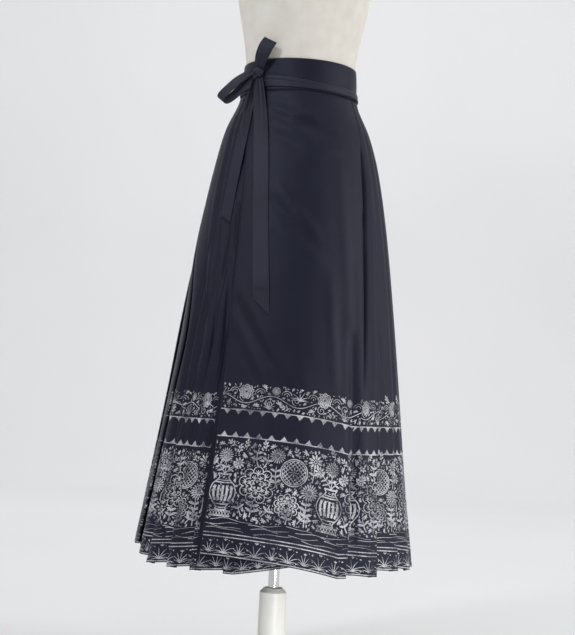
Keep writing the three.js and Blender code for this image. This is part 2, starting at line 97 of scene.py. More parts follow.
# The pleats from a panel's edge to the side: the fold's share of that way at the hem and from
# SPREAD_UP_TO upwards, and how far the hem is lifted at the fold and under the pleat before it
SPREAD_UP_TO = 400
PLEATS_BESIDE_INNER_PANEL = [
    (0.3, 0.28, 0, 5), (0.54, 0.46, 0, 6), (0.83, 0.64, 0, 7), (1, 1, 12, 12)
]
PLEATS_BESIDE_OUTER_PANEL = [
    (0.28, 0.28, 0, 5), (0.55, 0.55, 6, 11), (0.78, 0.78, 3, 11), (1, 1, 3, 8)
]
PLEATS_BEHIND_RIGHT = [(0.25, 0.25, 4, 8), (0.5, 0.5, 10, 15), (0.75, 0.75, 19, 23), (1, 1, 28, 30)]
PLEATS_BEHIND_LEFT = [(0.25, 0.25, 0, 5), (0.5, 0.5, 1, 7), (0.75, 0.75, 2, 6), (1, 1, 3, 8)]
HEM_PULL = 30  # how far the outer panel's hem is pulled up at its free corner
HEM_PULL_CURVE = 2.3
INNER_HEM_PULL = 33

# Creases and soft folds. A row runs from one place to another, each an angle from the
# centre of the front and a height above the hem, with the half width and the height of the
# ridge, or the depth of the trough where it is negative.
CREASES = named_rows(
    "from to half rise",
    ((-23, 872), (0, 852), 6.5, -3.6),
    ((-22, 858), (14, 838), 7, 3.2),
    ((-23, 846), (-8, 826), 6.5, -3.8),
    ((-10, 828), (28, 812), 7, -3.0),
    ((-19, 826), (10, 794), 8, 3.2),
    ((-20, 803), (4, 768), 7, -3.2),
    ((4, 788), (34, 776), 8, 1.8),
    ((-13, 704), (0, 668), 6, 2.0),
    ((-12, 690), (14, 604), 9, 3.2),
    ((-13, 664), (12, 586), 8, -2.8),
    ((-14, 622), (16, 560), 11, 1.8),
    ((-26, 492), (5, 318), 8, 2.6),
    ((-28, 474), (0, 316), 7, -2.2),
    ((-28, 444), (-5, 306), 8, 2.2),
    ((-24, 400), (-10, 296), 6, -1.6),
    ((22, 530), (25, 330), 12, 2.6),
    ((26, 470), (29, 280), 9, -1.6),
    ((30, 740), (33, 420), 11, 2.0),
    ((8, 360), (13, 120), 16, 2.0),
    ((-6, 300), (-7, 60), 14, 1.6),
    ((34.5, 430), (35, -60), 8, -7),
    ((52.6, 790), (47.6, 640), 4.5, -5),
    ((47.8, 660), (42, 340), 5, -6),
    ((41, 560), (41, -60), 12, 3),
    ((-36.3, 660), (-31.6, 330), 5.5, -8),
    ((-31.5, 420), (-30.8, -10), 6, -13),
    ((57, 730), (52, 320), 12, 3.2),
    ((55, 640), (55, 120), 12, -2.4),
    ((-40, 620), (-41, 200), 5, -5),
    ((-47, 560), (-50, 60), 5, -4.5),
    ((-56, 600), (-58, 120), 5, -4),
    ((152, 850), (170, 700), 11, 1.6),
    ((162, 846), (178, 760), 8, -1.2),
    ((196, 848), (186, 690), 11, 1.5),
    ((168, 620), (176, 300), 14, 2.4),
    ((180, 540), (181, 260), 12, -1.8),
    ((190, 560), (184, 180), 14, 2.2),
    ((203, 480), (205, 60), 14, 1.8),
    ((147, 560), (143, -60), 10, -3),
    ((213, 520), (216, -60), 10, -3),
)
# Slow waves all round that grow towards the hem: how many, how high and where they start
HEM_WAVES = [(5, 2.2, 0.6), (9, 1.3, 2.1), (14, 0.7, 4.0)]


def column(table, up, name):
    """A table's column at a height, on a smooth curve through its rows."""
    last = len(table) - 1
    i = 0
    while i < last - 1 and up > table[i + 1]["up"]:
        i += 1

    def slope(k):
        low, high = table[max(k - 1, 0)], table[min(k + 1, last)]
        return (high[name] - low[name]) / (high["up"] - low["up"])

    start, end = table[i], table[i + 1]
    span = end["up"] - start["up"]
    s = min(max((up - start["up"]) / span, 0), 1)
    value = (2 * s**3 - 3 * s**2 + 1) * start[name] + (3 * s**2 - 2 * s**3) * end[name]
    value += (s**3 - 2 * s**2 + s) * span * slope(i) + (s**3 - s**2) * span * slope(i + 1)
    return value


def between(pair, up):
    """A size at a height, from its values at the waist and at the hem."""
    return pair[1] + (pair[0] - pair[1]) * up / BAND_BOTTOM


def soft_folds(up, turn):
    """How far the creases and waves move the cloth out at a height, at many angles."""
    turn = np.asarray(turn, float)
    radius = (column(FORM, up, "width") + column(FORM, up, "front")) / 2
    moved = np.zeros_like(turn)
    for row in CREASES:
        (a1, u1), (a2, u2) = row["from"], row["to"]
        across = (np.mod(turn - math.radians(a1) + math.pi, 2 * math.pi) - math.pi) * radius
        step = np.array([math.radians(a2 - a1) * radius, u2 - u1])
        length = np.hypot(*step)
        share = (across * step[0] + (up - u1) * step[1]) / length**2
        beside = (across * step[1] - (up - u1) * step[0]) / length
        inside = np.clip(share, 0, 1)
        beyond = (share - inside) * length
        ends = np.sin(np.pi * np.clip(share * 0.84 + 0.08, 0, 1)) ** 0.6
        away = (beside**2 + beyond**2) / row["half"] ** 2
        moved += row["rise"] * ends * np.exp(-away)
    grow = max(0, 1 - up / BAND_BOTTOM) ** 1.3
    for count, height, start in HEM_WAVES:
        moved += grow * height * np.sin(count * turn + start + up * 0.002)
    return moved


def on_form(up, turn, out):
    """Places in the section at a height: out is the distance outside the skirt's form."""
    turn = np.asarray(turn, float)
    width = column(FORM, up, "width")
    front, back = column(FORM, up, "front"), column(FORM, up, "back")
    depth = np.where(np.cos(turn) > 0, front, back)
    normal_x, normal_y = np.sin(turn) / width, -np.cos(turn) / depth
    size = np.hypot(normal_x, normal_y)
    out = (out + soft_folds(up, turn)) / size
    x = width * np.sin(turn) + column(FORM, up, "shift") + normal_x * out
    y = -depth * np.cos(turn) + normal_y * out
    return np.stack([x, y], -1)


def arc(up, turn, distance):
    """The angle that a distance along the form takes up."""
    width = column(FORM, up, "width") * math.cos(turn)
    side = "front" if math.cos(turn) > 0 else "back"
    depth = column(FORM, up, side) * math.sin(turn)
    return distance / math.hypot(width, depth)


def edge_turn(up, name):
    """The angle of a panel's edge at a height."""
    return math.asin(column(EDGES, up, name) / column(FORM, up, "width"))


# Sections of the cloth pieces. A section is a list of points (turn, out, raised, stitched),
# where stitched is 0 on hidden layers, 1 where the embroidery shows, and between them on the
# shaded pleat at the wearer's right side, whose stitches are thinned as painted shade.
SHADE_THINNED_STITCHES = 0.42
FACE_STEPS = 15
FOLD_STEPS = 6


def folded_edge(up, fold, raised):
    """The rounded edge where a face turns under."""
    h = between(LAYER, up)
    near = arc(up, fold, h / 2)
    points = []
    for i in range(FOLD_STEPS + 1):
        a = math.pi * (0.5 - i / FOLD_STEPS)
        turn = fold - near + near * math.cos(a)
        points.append((turn, h / 2 * (math.sin(a) - 1), raised, int(i <= FOLD_STEPS // 2)))
    return points


def inner_fold(up, fold, raised):
    """The hidden fold where a pleat's cloth comes back under the next face."""
    h = between(LAYER, up)
    near = arc(up, fold, h / 2)
    deep = fold - arc(up, fold, between(UNDERLAY, up))
    points = []
    for i in range(FOLD_STEPS + 1):
        a = math.pi * (0.5 + i / FOLD_STEPS)
        out = -1.5 * h + h / 2 * math.sin(a)
        points.append((deep + near + near * math.cos(a), out, raised, 0))
    return points


def pleat_quarter(up, edge, pleats, meet, last_stitched=1):
    """The pleats from a panel's edge to the side: faces, folds and hidden layers."""
    h = between(LAYER, up)
    seam = edge - arc(up, edge, between(UNDERLAY, up) / 2 + SEAM)
    end = meet - arc(up, meet, between(SIDE_GAP, up))
    spread = min(up / SPREAD_UP_TO, 1)
    points = [(seam, -h, 0, 0)] + inner_fold(up, edge, 0)
    last = edge
    for at_hem, above, at_fold, under in pleats:
        fold = edge + (end - edge) * (at_hem + (above - at_hem) * spread)
        level = fold - arc(up, fold, between(UNDERLAY, up))
        stitched = last_stitched if at_hem == 1 else 1

        def raised(turn):
            return under + (at_fold - under) * (turn - last) / (fold - last)

        for i in range(FACE_STEPS + 1):
            share = i / FACE_STEPS
            turn = last + (level - last) * share
            out = -2 * h * (1 - share * (1.15 - 0.15 * share))
            points.append((turn, out, raised(turn), stitched))
        turn = (level + fold) / 2
        points.append((turn, 0.12 * h, raised(turn), stitched))
        points += folded_edge(up, fold, at_fold) + inner_fold(up, fold, at_fold)
        last = fold
    return points


def to_side(points, side):
    """A section of the wearer's left side, or its mirror image for the right."""
    if side > 0:
        return points
    return [(-turn, *rest) for turn, *rest in reversed(points)]


def pleated_side(up, side, front_edge, front_pleats, back_pleats):
    """A side's front and back pleats, which meet in a valley."""
    meet = math.radians(column(MEET, up, "left" if side > 0 else "right"))
    front = pleat_quarter(up, front_edge, front_pleats, meet)
    back = pleat_quarter(up, edge_turn(up, "back"), back_pleats, math.pi - meet,
                         SHADE_THINNED_STITCHES if side < 0 else 1)
    mirrored = [(math.pi - turn, *rest) for turn, *rest in back]
    valley = (meet, -2 * between(LAYER, up), (front[-1][2] + back[-1][2]) / 2, 1)
    return to_side(front + [valley] + mirrored[::-1], side)


PANEL_STEPS = 54


def panel(up, free_turn, fold_turn, out, raised):
    """A flat panel from its free edge to its fold. out and raised depend on the share between."""
    end = fold_turn - arc(up, fold_turn, between(UNDERLAY, up))
    points = []
    for i in range(PANEL_STEPS + 1):
        share = i / PANEL_STEPS
        points.append((free_turn + (end - free_turn) * share, out(share), raised(share), 1))
    points.append(((end + fold_turn) / 2, 0.08 * between(LAYER, up), 0, 1))
    points += folded_edge(up, fold_turn, 0)
    seam = fold_turn - arc(up, fold_turn, between(UNDERLAY, up) / 2)
    points.append((seam, -between(LAYER, up), 0, 0))
    return points


SETTLE_FROM = 0.45
FREE_EDGE_CLEARANCE = 3


def over_inner(up, share):
    """How far the outer panel stands out over the inner one."""
    s = min(max((share - SETTLE_FROM) / (1 - SETTLE_FROM), 0), 1)
    return between(LIFT_OVER, up) * (1 - s * s * (3 - 2 * s))


def inner_panel_end(up, edge):
    """The inner panel's free edge, hidden behind the outer panel's fold."""
    return edge - arc(up, edge, between(UNDERLAY, up) + FREE_EDGE_CLEARANCE)


def front_outer_section(up):
    free, fold = -edge_turn(up, "outerFree"), edge_turn(up, "outerFold")
    pulled = lambda share: HEM_PULL * (1 - share**HEM_PULL_CURVE)
    return panel(up, free, fold, lambda share: over_inner(up, share), pulled)


def front_inner_section(up):
    fold = edge_turn(up, "innerFold")
    free = -inner_panel_end(up, edge_turn(up, "outerFold"))
    sunk = lambda share: -2 * between(LAYER, up) * (1 - share)
    return to_side(panel(up, free, fold, sunk, lambda share: INNER_HEM_PULL * (1 - share)), -1)


def turned_round(points):
    return [(turn + math.pi, *rest) for turn, *rest in points]


def back_outer_section(up):
    edge = edge_turn(up, "back")
    return turned_round(panel(up, -edge, edge, lambda share: over_inner(up, share), lambda _: 0))


def back_inner_section(up):
    edge = edge_turn(up, "back")
    free = -inner_panel_end(up, edge)
    sunk = lambda share: -2 * between(LAYER, up) * (1 - share)
    return turned_round(to_side(panel(up, free, edge, sunk, lambda _: 0), -1))


def left_pleats_section(up):
    edge = edge_turn(up, "outerFold")
    return pleated_side(up, 1, edge, PLEATS_BESIDE_OUTER_PANEL, PLEATS_BEHIND_LEFT)


def right_pleats_section(up):
    edge = edge_turn(up, "innerFold")
    return pleated_side(up, -1, edge, PLEATS_BESIDE_INNER_PANEL, PLEATS_BEHIND_RIGHT)


class Cloth:
    """A cloth piece as a grid of points: rows go up from the hem and columns run along it."""

    ROWS = 96
    MORE_ROWS_ABOVE = 0.25
    MEASURED_AT = 120  # the height where lengths along the cloth are taken

    def __init__(self, section, lift_share):
        """lift_share(up) is how much of the hem's lift is left at a height."""
        self.lift_share = lift_share
        share = np.linspace(0, 1, self.ROWS)
        closer = 1 + self.MORE_ROWS_ABOVE * (1 - share)
        self.ups = (BAND_BOTTOM - SEAM) * share * closer
        self.grid = np.array([self.row(section, up)[0] for up in self.ups])
        path, self.stitched = self.row(section, self.MEASURED_AT)
        steps = np.linalg.norm(np.diff(path[:, :2], axis=0), axis=1)
        self.along = np.concatenate([[0], np.cumsum(steps)])
        self.normals = self.grid_normals()

    def row(self, section, up):
        turn, out, raised, stitched = np.array(section(up), float).T
        place = on_form(up, turn, out)
        height = HEM_Z + up + raised * self.lift_share(up)
        return np.column_stack([place, height]), stitched

    def grid_normals(self):
        across = np.gradient(self.grid, axis=1)
        upward = np.gradient(self.grid, axis=0)
        normals = np.cross(across, upward)
        return normals / np.linalg.norm(normals, axis=2, keepdims=True)

    def length_at(self, up_index):
        return np.linalg.norm(np.diff(self.grid[up_index], axis=0), axis=1).sum()

    def flat_area(self):
        """The area of the flat cut, in square metres: its width at each height, added up."""
        widths = np.array([self.length_at(i) for i in range(self.ROWS)])
        strips = (widths[1:] + widths[:-1]) / 2 * np.diff(self.ups)
        return float(strips.sum()) * MM * MM

    def flat_size(self):
        widest = max(self.length_at(i) for i in range(self.ROWS))
        return (widest * MM, (BAND_BOTTOM - SEAM) * MM)

    def column_of(self, along):
        return np.clip(np.searchsorted(self.along, along) - 1, 0, len(self.along) - 1)

    def places(self, along, up, out):
        """Points on the cloth, moved out from it, from lengths along it and heights."""
        j = np.clip(np.searchsorted(self.along, along) - 1, 0, len(self.along) - 2)
        i = np.clip(np.searchsorted(self.ups, up) - 1, 0, self.ROWS - 2)
        a = ((along - self.along[j]) / (self.along[j + 1] - self.along[j]))[:, None]
        b = ((up - self.ups[i]) / (self.ups[i + 1] - self.ups[i]))[:, None]

        def mix(values):
            low = values[i, j] * (1 - a) + values[i, j + 1] * a
            high = values[i + 1, j] * (1 - a) + values[i + 1, j + 1] * a
            return low * (1 - b) + high * b

        return mix(self.grid) + mix(self.normals) * out


def panel_lift(up):
    """A panel is pulled up as a whole, less and less up to the waistband."""
    return 1 - up / BAND_BOTTOM


def pleat_lift(up):
    """A pleat's uneven hem is even again a little way up."""
    return math.exp(-((up / 150) ** 2))


def make_object(name, vertices, faces, uvs=None):
    """A smooth mesh object from points in millimetres. uvs holds one pair for each point."""
    mesh = bpy.data.meshes.new(name)
    mesh.from_pydata((np.asarray(vertices) * MM).tolist(), [], faces)
    mesh.polygons.foreach_set("use_smooth", [True] * len(mesh.polygons))
    if uvs is not None:
        layer = mesh.uv_layers.new(name="cloth")
        corners = np.zeros(len(mesh.loops), int)
        mesh.loops.foreach_get("vertex_index", corners)
        layer.data.foreach_set("uv", np.asarray(uvs, float)[corners].ravel())
    mesh.update()
    obj = bpy.data.objects.new(name, mesh)
    bpy.context.scene.collection.objects.link(obj)
    return obj


def grid_faces(rows, columns, closed=False):
    strips = columns if closed else columns - 1
    faces = []
    for i in range(rows - 1):
        for j in range(strips):
            right = (j + 1) % columns
            low, high = i * columns, (i + 1) * columns
            faces.append((low + j, low + right, high + right, high + j))
    return faces


def uv_grid(lengths, heights):
    """Cloth coordinates for a grid of points."""
    along, up = np.meshgrid(lengths, heights)
    return np.column_stack([along.ravel(), up.ravel()])


def thicken(obj, thickness):
    """Gives an open sheet its thickness, to both sides."""
    solid = obj.modifiers.new("thickness", "SOLIDIFY")
    solid.thickness = thickness * MM
    solid.offset = 0
    solid.use_even_offset = True
    return obj


def finish_piece(obj, material):
    obj.data.materials.append(material)
    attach(obj, "root")
    return obj


def make_cloth(name, node, cloth):
    """A cloth piece as a thin shell in place of its solid."""
    rows, columns = cloth.grid.shape[:2]
    uvs = uv_grid(cloth.along * MM, cloth.ups * MM)
    obj = make_object(name, cloth.grid.reshape(-1, 3), grid_faces(rows, columns), uvs)
    thicken(obj, SHELL)
    finish_piece(obj, SKIRT_CLOTH)
    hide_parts(node)
    return obj


def hang(obj, cloth, embroidery=()):
    """Works out the size and area of a cloth piece's flat cut; nothing uses them."""
    sizes = {"flat": cloth.flat_size(), "area": cloth.flat_area()}


# Materials
WAVE_RADIANS = 20  # how far a wave texture turns in one unit at a scale of 1


class Finish:
    """A material with the standard shader, and short ways to make and link its nodes."""

    def __init__(self, name):
        self.material = bpy.data.materials.new(name)
        self.material.use_nodes = True
        self.tree = self.material.node_tree
        self.shader = self.tree.nodes["Principled BSDF"]
        self.place = self.make("TexCoord", "Object", {})

    def feed(self, node, inputs):
        """Each input gets the link from a socket, or a constant."""
        for name, value in inputs.items():
            if isinstance(value, bpy.types.NodeSocket):
                self.tree.links.new(value, node.inputs[name])
            else:
                node.inputs[name].default_value = value

    def make(self, kind, output, inputs, **settings):
        """An output of a new node."""
        node = self.tree.nodes.new("ShaderNode" + kind)
        for name, value in settings.items():
            setattr(node, name, value)
        self.feed(node, inputs)
        return node.outputs[output]

    def noise(self, scale, detail=2, vector=None):
        return self.make(
            "TexNoise", "Fac", {"Vector": vector or self.place, "Scale": scale, "Detail": detail}
        )

    def bump(self, height, strength, distance, below=None):
        inputs = {"Height": height, "Strength": strength, "Distance": distance}
        if below:
            inputs["Normal"] = below
        return self.make("Bump", "Normal", inputs)

    def weave(self, spacing):
        """A plain weave's height from a pair of crossed waves, with threads `spacing` apart."""
        wave = {
            "Vector": self.make("UVMap", "UV", {}, uv_map="cloth"),
            "Scale": 2 * math.pi / (WAVE_RADIANS * spacing),
            "Distortion": 0.6,
            "Detail": 1,
        }
        crossed = [self.make("TexWave", "Fac", wave, bands_direction=axis) for axis in "XY"]
        return self.make("Math", 0, dict(enumerate(crossed)), operation="MULTIPLY")

    def tones(self, source, *stops):
        """The base colour runs between two tones."""
        ramp = self.tree.nodes.new("ShaderNodeValToRGB")
        for element, (at, colour) in zip(ramp.color_ramp.elements, stops):
            element.position = at
            element.color = (*colour, 1)
        self.feed(ramp, {"Fac": source})
        self.feed(self.shader, {"Base Color": ramp.outputs["Color"]})

    def vary_roughness(self, source, low, high):
        inputs = {"Value": source, "To Min": low, "To Max": high}
        self.feed(self.shader, {"Roughness": self.make("MapRange", "Result", inputs)})


def satin(name, dark, light, roughness, sheen):
    """Woven cloth: two close tones, a soft sheen, a fine weave and slubs in its bump."""
    finish = Finish(name)
    noise = finish.noise(14, 5)
    finish.tones(noise, (0.35, dark), (0.7, light))
    finish.vary_roughness(noise, roughness - 0.05, roughness + 0.07)
    weave = finish.bump(finish.weave(0.0006), 0.3, 0.0003)
    finish.feed(finish.shader, {
        "Normal": finish.bump(finish.noise(60, 3), 0.12, 0.002, weave),
        "Sheen Weight": sheen,
        "Sheen Roughness": 0.4,
        "Sheen Tint": (0.75, 0.78, 1, 1),
        "Specular IOR Level": 0.24,
        "Specular Tint": (0.82, 0.86, 1, 1),
    })
    return finish.material


def embroidery_thread():
    """Silver-grey thread, brighter and duller from place to place, with fine stitches."""
    finish = Finish("embroidery_thread")
    fine = finish.make("Math", 0, {0: finish.noise(420), 1: 0.4}, operation="MULTIPLY")
    coarse = {0: finish.noise(38, 3), 1: 0.6, 2: fine}
    tone = finish.make("Math", 0, coarse, operation="MULTIPLY_ADD")
    finish.tones(tone, (0.38, (0.09, 0.091, 0.11)), (0.60, (0.56, 0.56, 0.60)))
    wave = {"Vector": finish.place, "Scale": 300, "Distortion": 1.5}
    stitches = finish.make("TexWave", "Fac", wave, bands_direction="DIAGONAL")
    bump = finish.bump(stitches, 0.3, 0.0002)
    finish.feed(finish.shader, {"Normal": bump, "Roughness": 0.55, "Sheen Weight": 0.1})
    return finish.material


def form_jersey():
    """Cream jersey stretched over the dress form."""
    finish = Finish("form_jersey")
    finish.tones(finish.noise(35, 6), (0.35, (0.74, 0.70, 0.63)), (0.7, (0.80, 0.77, 0.71)))
    bump = finish.bump(finish.weave(0.0011), 0.5, 0.0005)
    finish.feed(finish.shader, {"Normal": bump, "Roughness": 0.85, "Sheen Weight": 0.25})
    return finish.material


def white_paint():
    """White satin paint with a faint orange peel."""
    finish = Finish("white_paint")
    finish.tones(finish.noise(9), (0.3, (0.84, 0.84, 0.82)), (0.7, (0.90, 0.90, 0.88)))
    bump = finish.bump(finish.noise(220), 0.08, 0.0004)
    finish.feed(finish.shader, {"Normal": bump, "Roughness": 0.32})
    return finish.material


def chrome():
    """Polished chrome with faint lengthwise marks."""
    finish = Finish("chrome")
    stretched = {"Vector": finish.place, "Scale": (400, 400, 6)}
    marks = finish.noise(1, vector=finish.make("Mapping", "Vector", stretched))
    finish.vary_roughness(marks, 0.06, 0.18)
    finish.tones(marks, (0.3, (0.56, 0.56, 0.55)), (0.7, (0.64, 0.64, 0.62)))
    finish.feed(finish.shader, {"Metallic": 1})
    return finish.material


SKIRT_CLOTH = satin("skirt_satin", (0.0050, 0.0055, 0.0148), (0.0079, 0.0086, 0.0220), 0.44, 0.03)
# The ribbon's tones are lighter than the skirt's: partly the ribbon's own colour, partly painted
# light where the tails face up and forward.
RIBBON_CLOTH_WITH_PAINTED_LIGHT = satin("ribbon_satin_with_painted_light", (0.014, 0.0145, 0.026), (0.021, 0.0215, 0.037), 0.46, 0.05)
THREAD = embroidery_thread()
FORM_CLOTH = form_jersey()
WHITE_PAINT = white_paint()
CHROME = chrome()


# Embroidery. A pattern is a list of strokes in millimetres along and up the cloth, and each
# stroke has its points and its width at each of them.
CELL = 1.5  # size of the squares that record where the cloth is already covered
PATTERN_TOP = 340


def around(x, y, radius, turn):
    """The place at a distance from another, at an angle from upright."""
    return x + radius * math.sin(turn), y + radius * math.cos(turn)


class Pattern:
    """The strokes of a cloth piece's embroidery, and the squares that they cover."""

    def __init__(self, seed, length):
        self.strokes = []
        self.random = random.Random(seed)
        self.length = length
        self.taken = np.zeros((int(length / CELL) + 3, int(PATTERN_TOP / CELL) + 3), bool)
        self.settled = 0

    def squares(self, first):
        """The squares under the strokes from `first` on."""
        places = []
        for points, _ in self.strokes[first:]:
            size = np.linalg.norm(np.diff(points, axis=0), axis=1).sum()
            at = np.linspace(0, len(points) - 1, max(2, int(size / 1.2)))
            index = np.arange(len(points))
            places.append(np.column_stack([np.interp(at, index, points[:, k]) for k in (0, 1)]))
        cells = (np.concatenate(places) / CELL).astype(int) + 1
        return np.clip(cells, 0, np.array(self.taken.shape) - 1)

    def settle(self):
        """Records the squares that the strokes drawn since the last call cover."""
        if len(self.strokes) > self.settled:
            cells = self.squares(self.settled)
            for dx, dy in ((0, 0), (1, 0), (-1, 0), (0, 1), (0, -1)):
                x = np.clip(cells[:, 0] + dx, 0, self.taken.shape[0] - 1)
                y = np.clip(cells[:, 1] + dy, 0, self.taken.shape[1] - 1)
                self.taken[x, y] = True
        self.settled = len(self.strokes)

    def place_if_free(self, draw, *values):
        """Draws a small motif and keeps it only where the cloth is bare."""
        self.settle()
        draw(self, *values)
        cells = self.squares(self.settled)
        if self.taken[cells[:, 0], cells[:, 1]].any():
            del self.strokes[self.settled :]
        else:
            self.settle()

    def stroke(self, points, width, taper=1.0):
        """A stroke that narrows to `taper` of its width towards its end."""
        points = np.array(points, float)
        share = np.linspace(0, 1, len(points))
        self.strokes.append((points, width * (1 + (taper - 1) * share)))

    def bent(self, x, y, angle, length, bend, steps):
        """Points that leave a place at an angle from upright and bend as they go."""
        points = [(x, y)]
        step = length / (steps - 1)
        for i in range(steps - 1):
            a = angle + bend * (i + 0.5) / (steps - 1)
            points.append(around(*points[-1], step, a))
        return np.array(points)

    def blade(self, x, y, angle, length, bend, width, taper=0.3, steps=6):
        points = self.bent(x, y, angle, length, bend, steps)
        self.stroke(points, width, taper)
        return points[-1]

    def leaf(self, x, y, angle, length, bend, width):
        points = self.bent(x, y, angle, length, bend, 5)
        share = np.linspace(0, 1, len(points))
        self.strokes.append((points, width * (0.15 + 0.85 * np.sin(np.pi * share) ** 0.8)))

    def ring(self, x, y, radius, start, end, width, steps=10):
        turns = np.radians(np.linspace(start, end, steps))
        points = np.column_stack([x + radius * np.cos(turns), y + radius * np.sin(turns)])
        self.stroke(points, width)

    def scroll(self, x, y, radius, start, turns, width, steps=14):
        share = np.linspace(0, 1, steps)
        a = np.radians(start) + 2 * np.pi * turns * share
        r = radius * (1 - 0.82 * share)
        self.stroke(np.column_stack([x + r * np.cos(a), y + r * np.sin(a)]), width, 0.7)

    def dot(self, x, y, radius):
        points = np.array([(x - radius, y), (x, y), (x + radius, y)])
        self.strokes.append((points, radius * np.array([0.9, 2, 0.9])))


BORDER_LINE = 1.8  # width of a border's plain line
HEM_LINE = 2.6  # height of the lowest line above the cloth's edge
PAIR_OF_LINES = (35.5, 41.6)
LOWER_TEETH_LINE = 216.5
UPPER_TEETH_LINE = 266.5

HEM_PITCH = 28.5  # from one tuft to the next
# Blades of a tuft: lean in degrees, share of the tuft's height, bend in degrees
SLENDER_TUFT = [(-50, 0.62, -34), (-31, 0.82, -26), (-13, 0.96, -12), (6, 1.0, 6), (23, 0.9, 20),
                (42, 0.72, 36), (62, 0.5, 40)]
SPREADING_TUFT = [(-72, 0.86, -52), (-52, 0.98, -58), (-30, 0.96, -40), (-8, 0.9, -10),
                  (16, 0.92, 22), (38, 1.0, 50), (58, 0.92, 60), (76, 0.7, 44)]


def tuft(pattern, x, foot, size, blades, width):
    """A tuft of arching grass with a small bud over it."""
    for angle, share, bend in blades:
        angle = math.radians(angle) + pattern.random.uniform(-0.07, 0.07)
        pattern.blade(x, foot, angle, size * share, math.radians(bend), width, 0.25)
    bud = foot + size * 1.08
    for angle in (-48, 0, 48):
        pattern.leaf(x + 1.5, bud - 2, math.radians(angle), size * 0.22, 0, width * 0.8)


def hem_border(pattern):
    """The hem line, a row of tufts and dots, and a pair of lines above them."""
    for height in (HEM_LINE, *PAIR_OF_LINES):
        pattern.stroke([(0, height), (pattern.length, height)], BORDER_LINE)
    for k in range(int(pattern.length / HEM_PITCH) + 2):
        x = (k - 0.4) * HEM_PITCH
        if k % 2 == 0:
            tuft(pattern, x, 6.5, 23, SPREADING_TUFT, 1.75)
        else:
            tuft(pattern, x, 7, 19, SLENDER_TUFT, 1.9)
        pattern.dot(x + HEM_PITCH * 0.5, 28.5, 1.4)
        pattern.dot(x + HEM_PITCH * 0.53, 8 if k % 2 == 0 else 17, 1.3)
        pattern.dot(x + HEM_PITCH * 0.3, 30, 0.8)
    pattern.settle()


TOOTH_PITCH = 22
TOOTH_BASE = 12.4
TOOTH_HEIGHT = 8.2
TOOTH_STITCHES = 9


def teeth(pattern, line, direction):
    """A border line with a row of pointed teeth, each of upright stitches side by side."""
    pattern.stroke([(0, line), (pattern.length, line)], BORDER_LINE)
    step = TOOTH_BASE / TOOTH_STITCHES
    foot = line + direction * BORDER_LINE / 2
    for k in range(int(pattern.length / TOOTH_PITCH) + 2):
        for i in range(TOOTH_STITCHES):
            aside = (i - (TOOTH_STITCHES - 1) / 2) * step
            tall = TOOTH_HEIGHT * (1 - abs(aside) / (TOOTH_BASE / 2))
            x = (k - 0.3) * TOOTH_PITCH + aside
            pattern.stroke([(x, foot), (x, foot + direction * tall)], step * 0.9)
    pattern.settle()


def star_flower(pattern, x, y, radius, petals, width):
    """An open flower with one ring of pointed petals."""
    for k in range(petals):
        turn = 2 * math.pi * k / petals
        pattern.leaf(*around(x, y, radius * 0.3, turn), turn, radius * 0.7, 0, width)
    pattern.ring(x, y, radius * 0.2, 0, 360, 1.3, 7)


def aster(pattern, x, y, radius):
    """A full flower with two rings of narrow petals round a dotted middle."""
    for ring, (petals, inner, outer) in enumerate(((18, 0.5, 1.0), (12, 0.2, 0.56))):
        for k in range(petals):
            turn = 2 * math.pi * (k + 0.5 * ring) / petals
            foot = around(x, y, radius * inner, turn)
            pattern.leaf(*foot, turn, radius * (outer - inner), 0, radius * 0.17)
    for k in range(5):
        pattern.dot(*around(x, y, radius * 0.1, 2 * math.pi * k / 5), 0.9)


def peony(pattern, x, y, radius):
    """A full round flower: rings of scalloped petals with fine lines in them."""
    for petals, inner, outer in ((9, 0.62, 1.0), (7, 0.36, 0.68), (5, 0.12, 0.4)):
        for k in range(petals):
            turn = 2 * math.pi * (k + 0.5 * (petals == 7)) / petals
            middle = radius * (inner + outer) / 2
            wide = math.pi * middle / petals
            centre = around(x, y, middle, turn)
            start = 90 - math.degrees(turn)
            pattern.ring(*centre, wide, start - 105, start + 105, 1.6, 9)
            for lean in (-0.5, 0, 0.5):
                foot = around(x, y, radius * inner, turn)
                pattern.leaf(*foot, turn + lean, radius * (outer - inner) * 0.8, 0, 1.5)


def leafy_stem(pattern, x, y, angle, length, bend, leaf, width=1.8):
    """A bent stem with pairs of filled leaves. Gives the place of its tip."""
    points = pattern.bent(x, y, angle, length, bend, 12)
    pattern.stroke(points, width, 0.6)
    count = max(2, int(length / 9))
    for k in range(1, count):
        s = k / count
        px, py = (np.interp(s * 11, np.arange(12), points[:, axis]) for axis in (0, 1))
        a = angle + bend * s
        for side in (-1, 1):
            reach = leaf * (1 - 0.3 * s) * pattern.random.uniform(0.8, 1.15)
            pattern.leaf(px, py, a + side * 0.9, reach, side * 0.5, leaf * 0.3)
    return points[-1]


# Half width and height of a vase, from its foot up
VASE_PROFILE = [
    (11, 0), (8.5, 4), (16, 12), (24, 24), (25, 34), (21, 45), (12, 53), (8.5, 58), (13, 64)
]


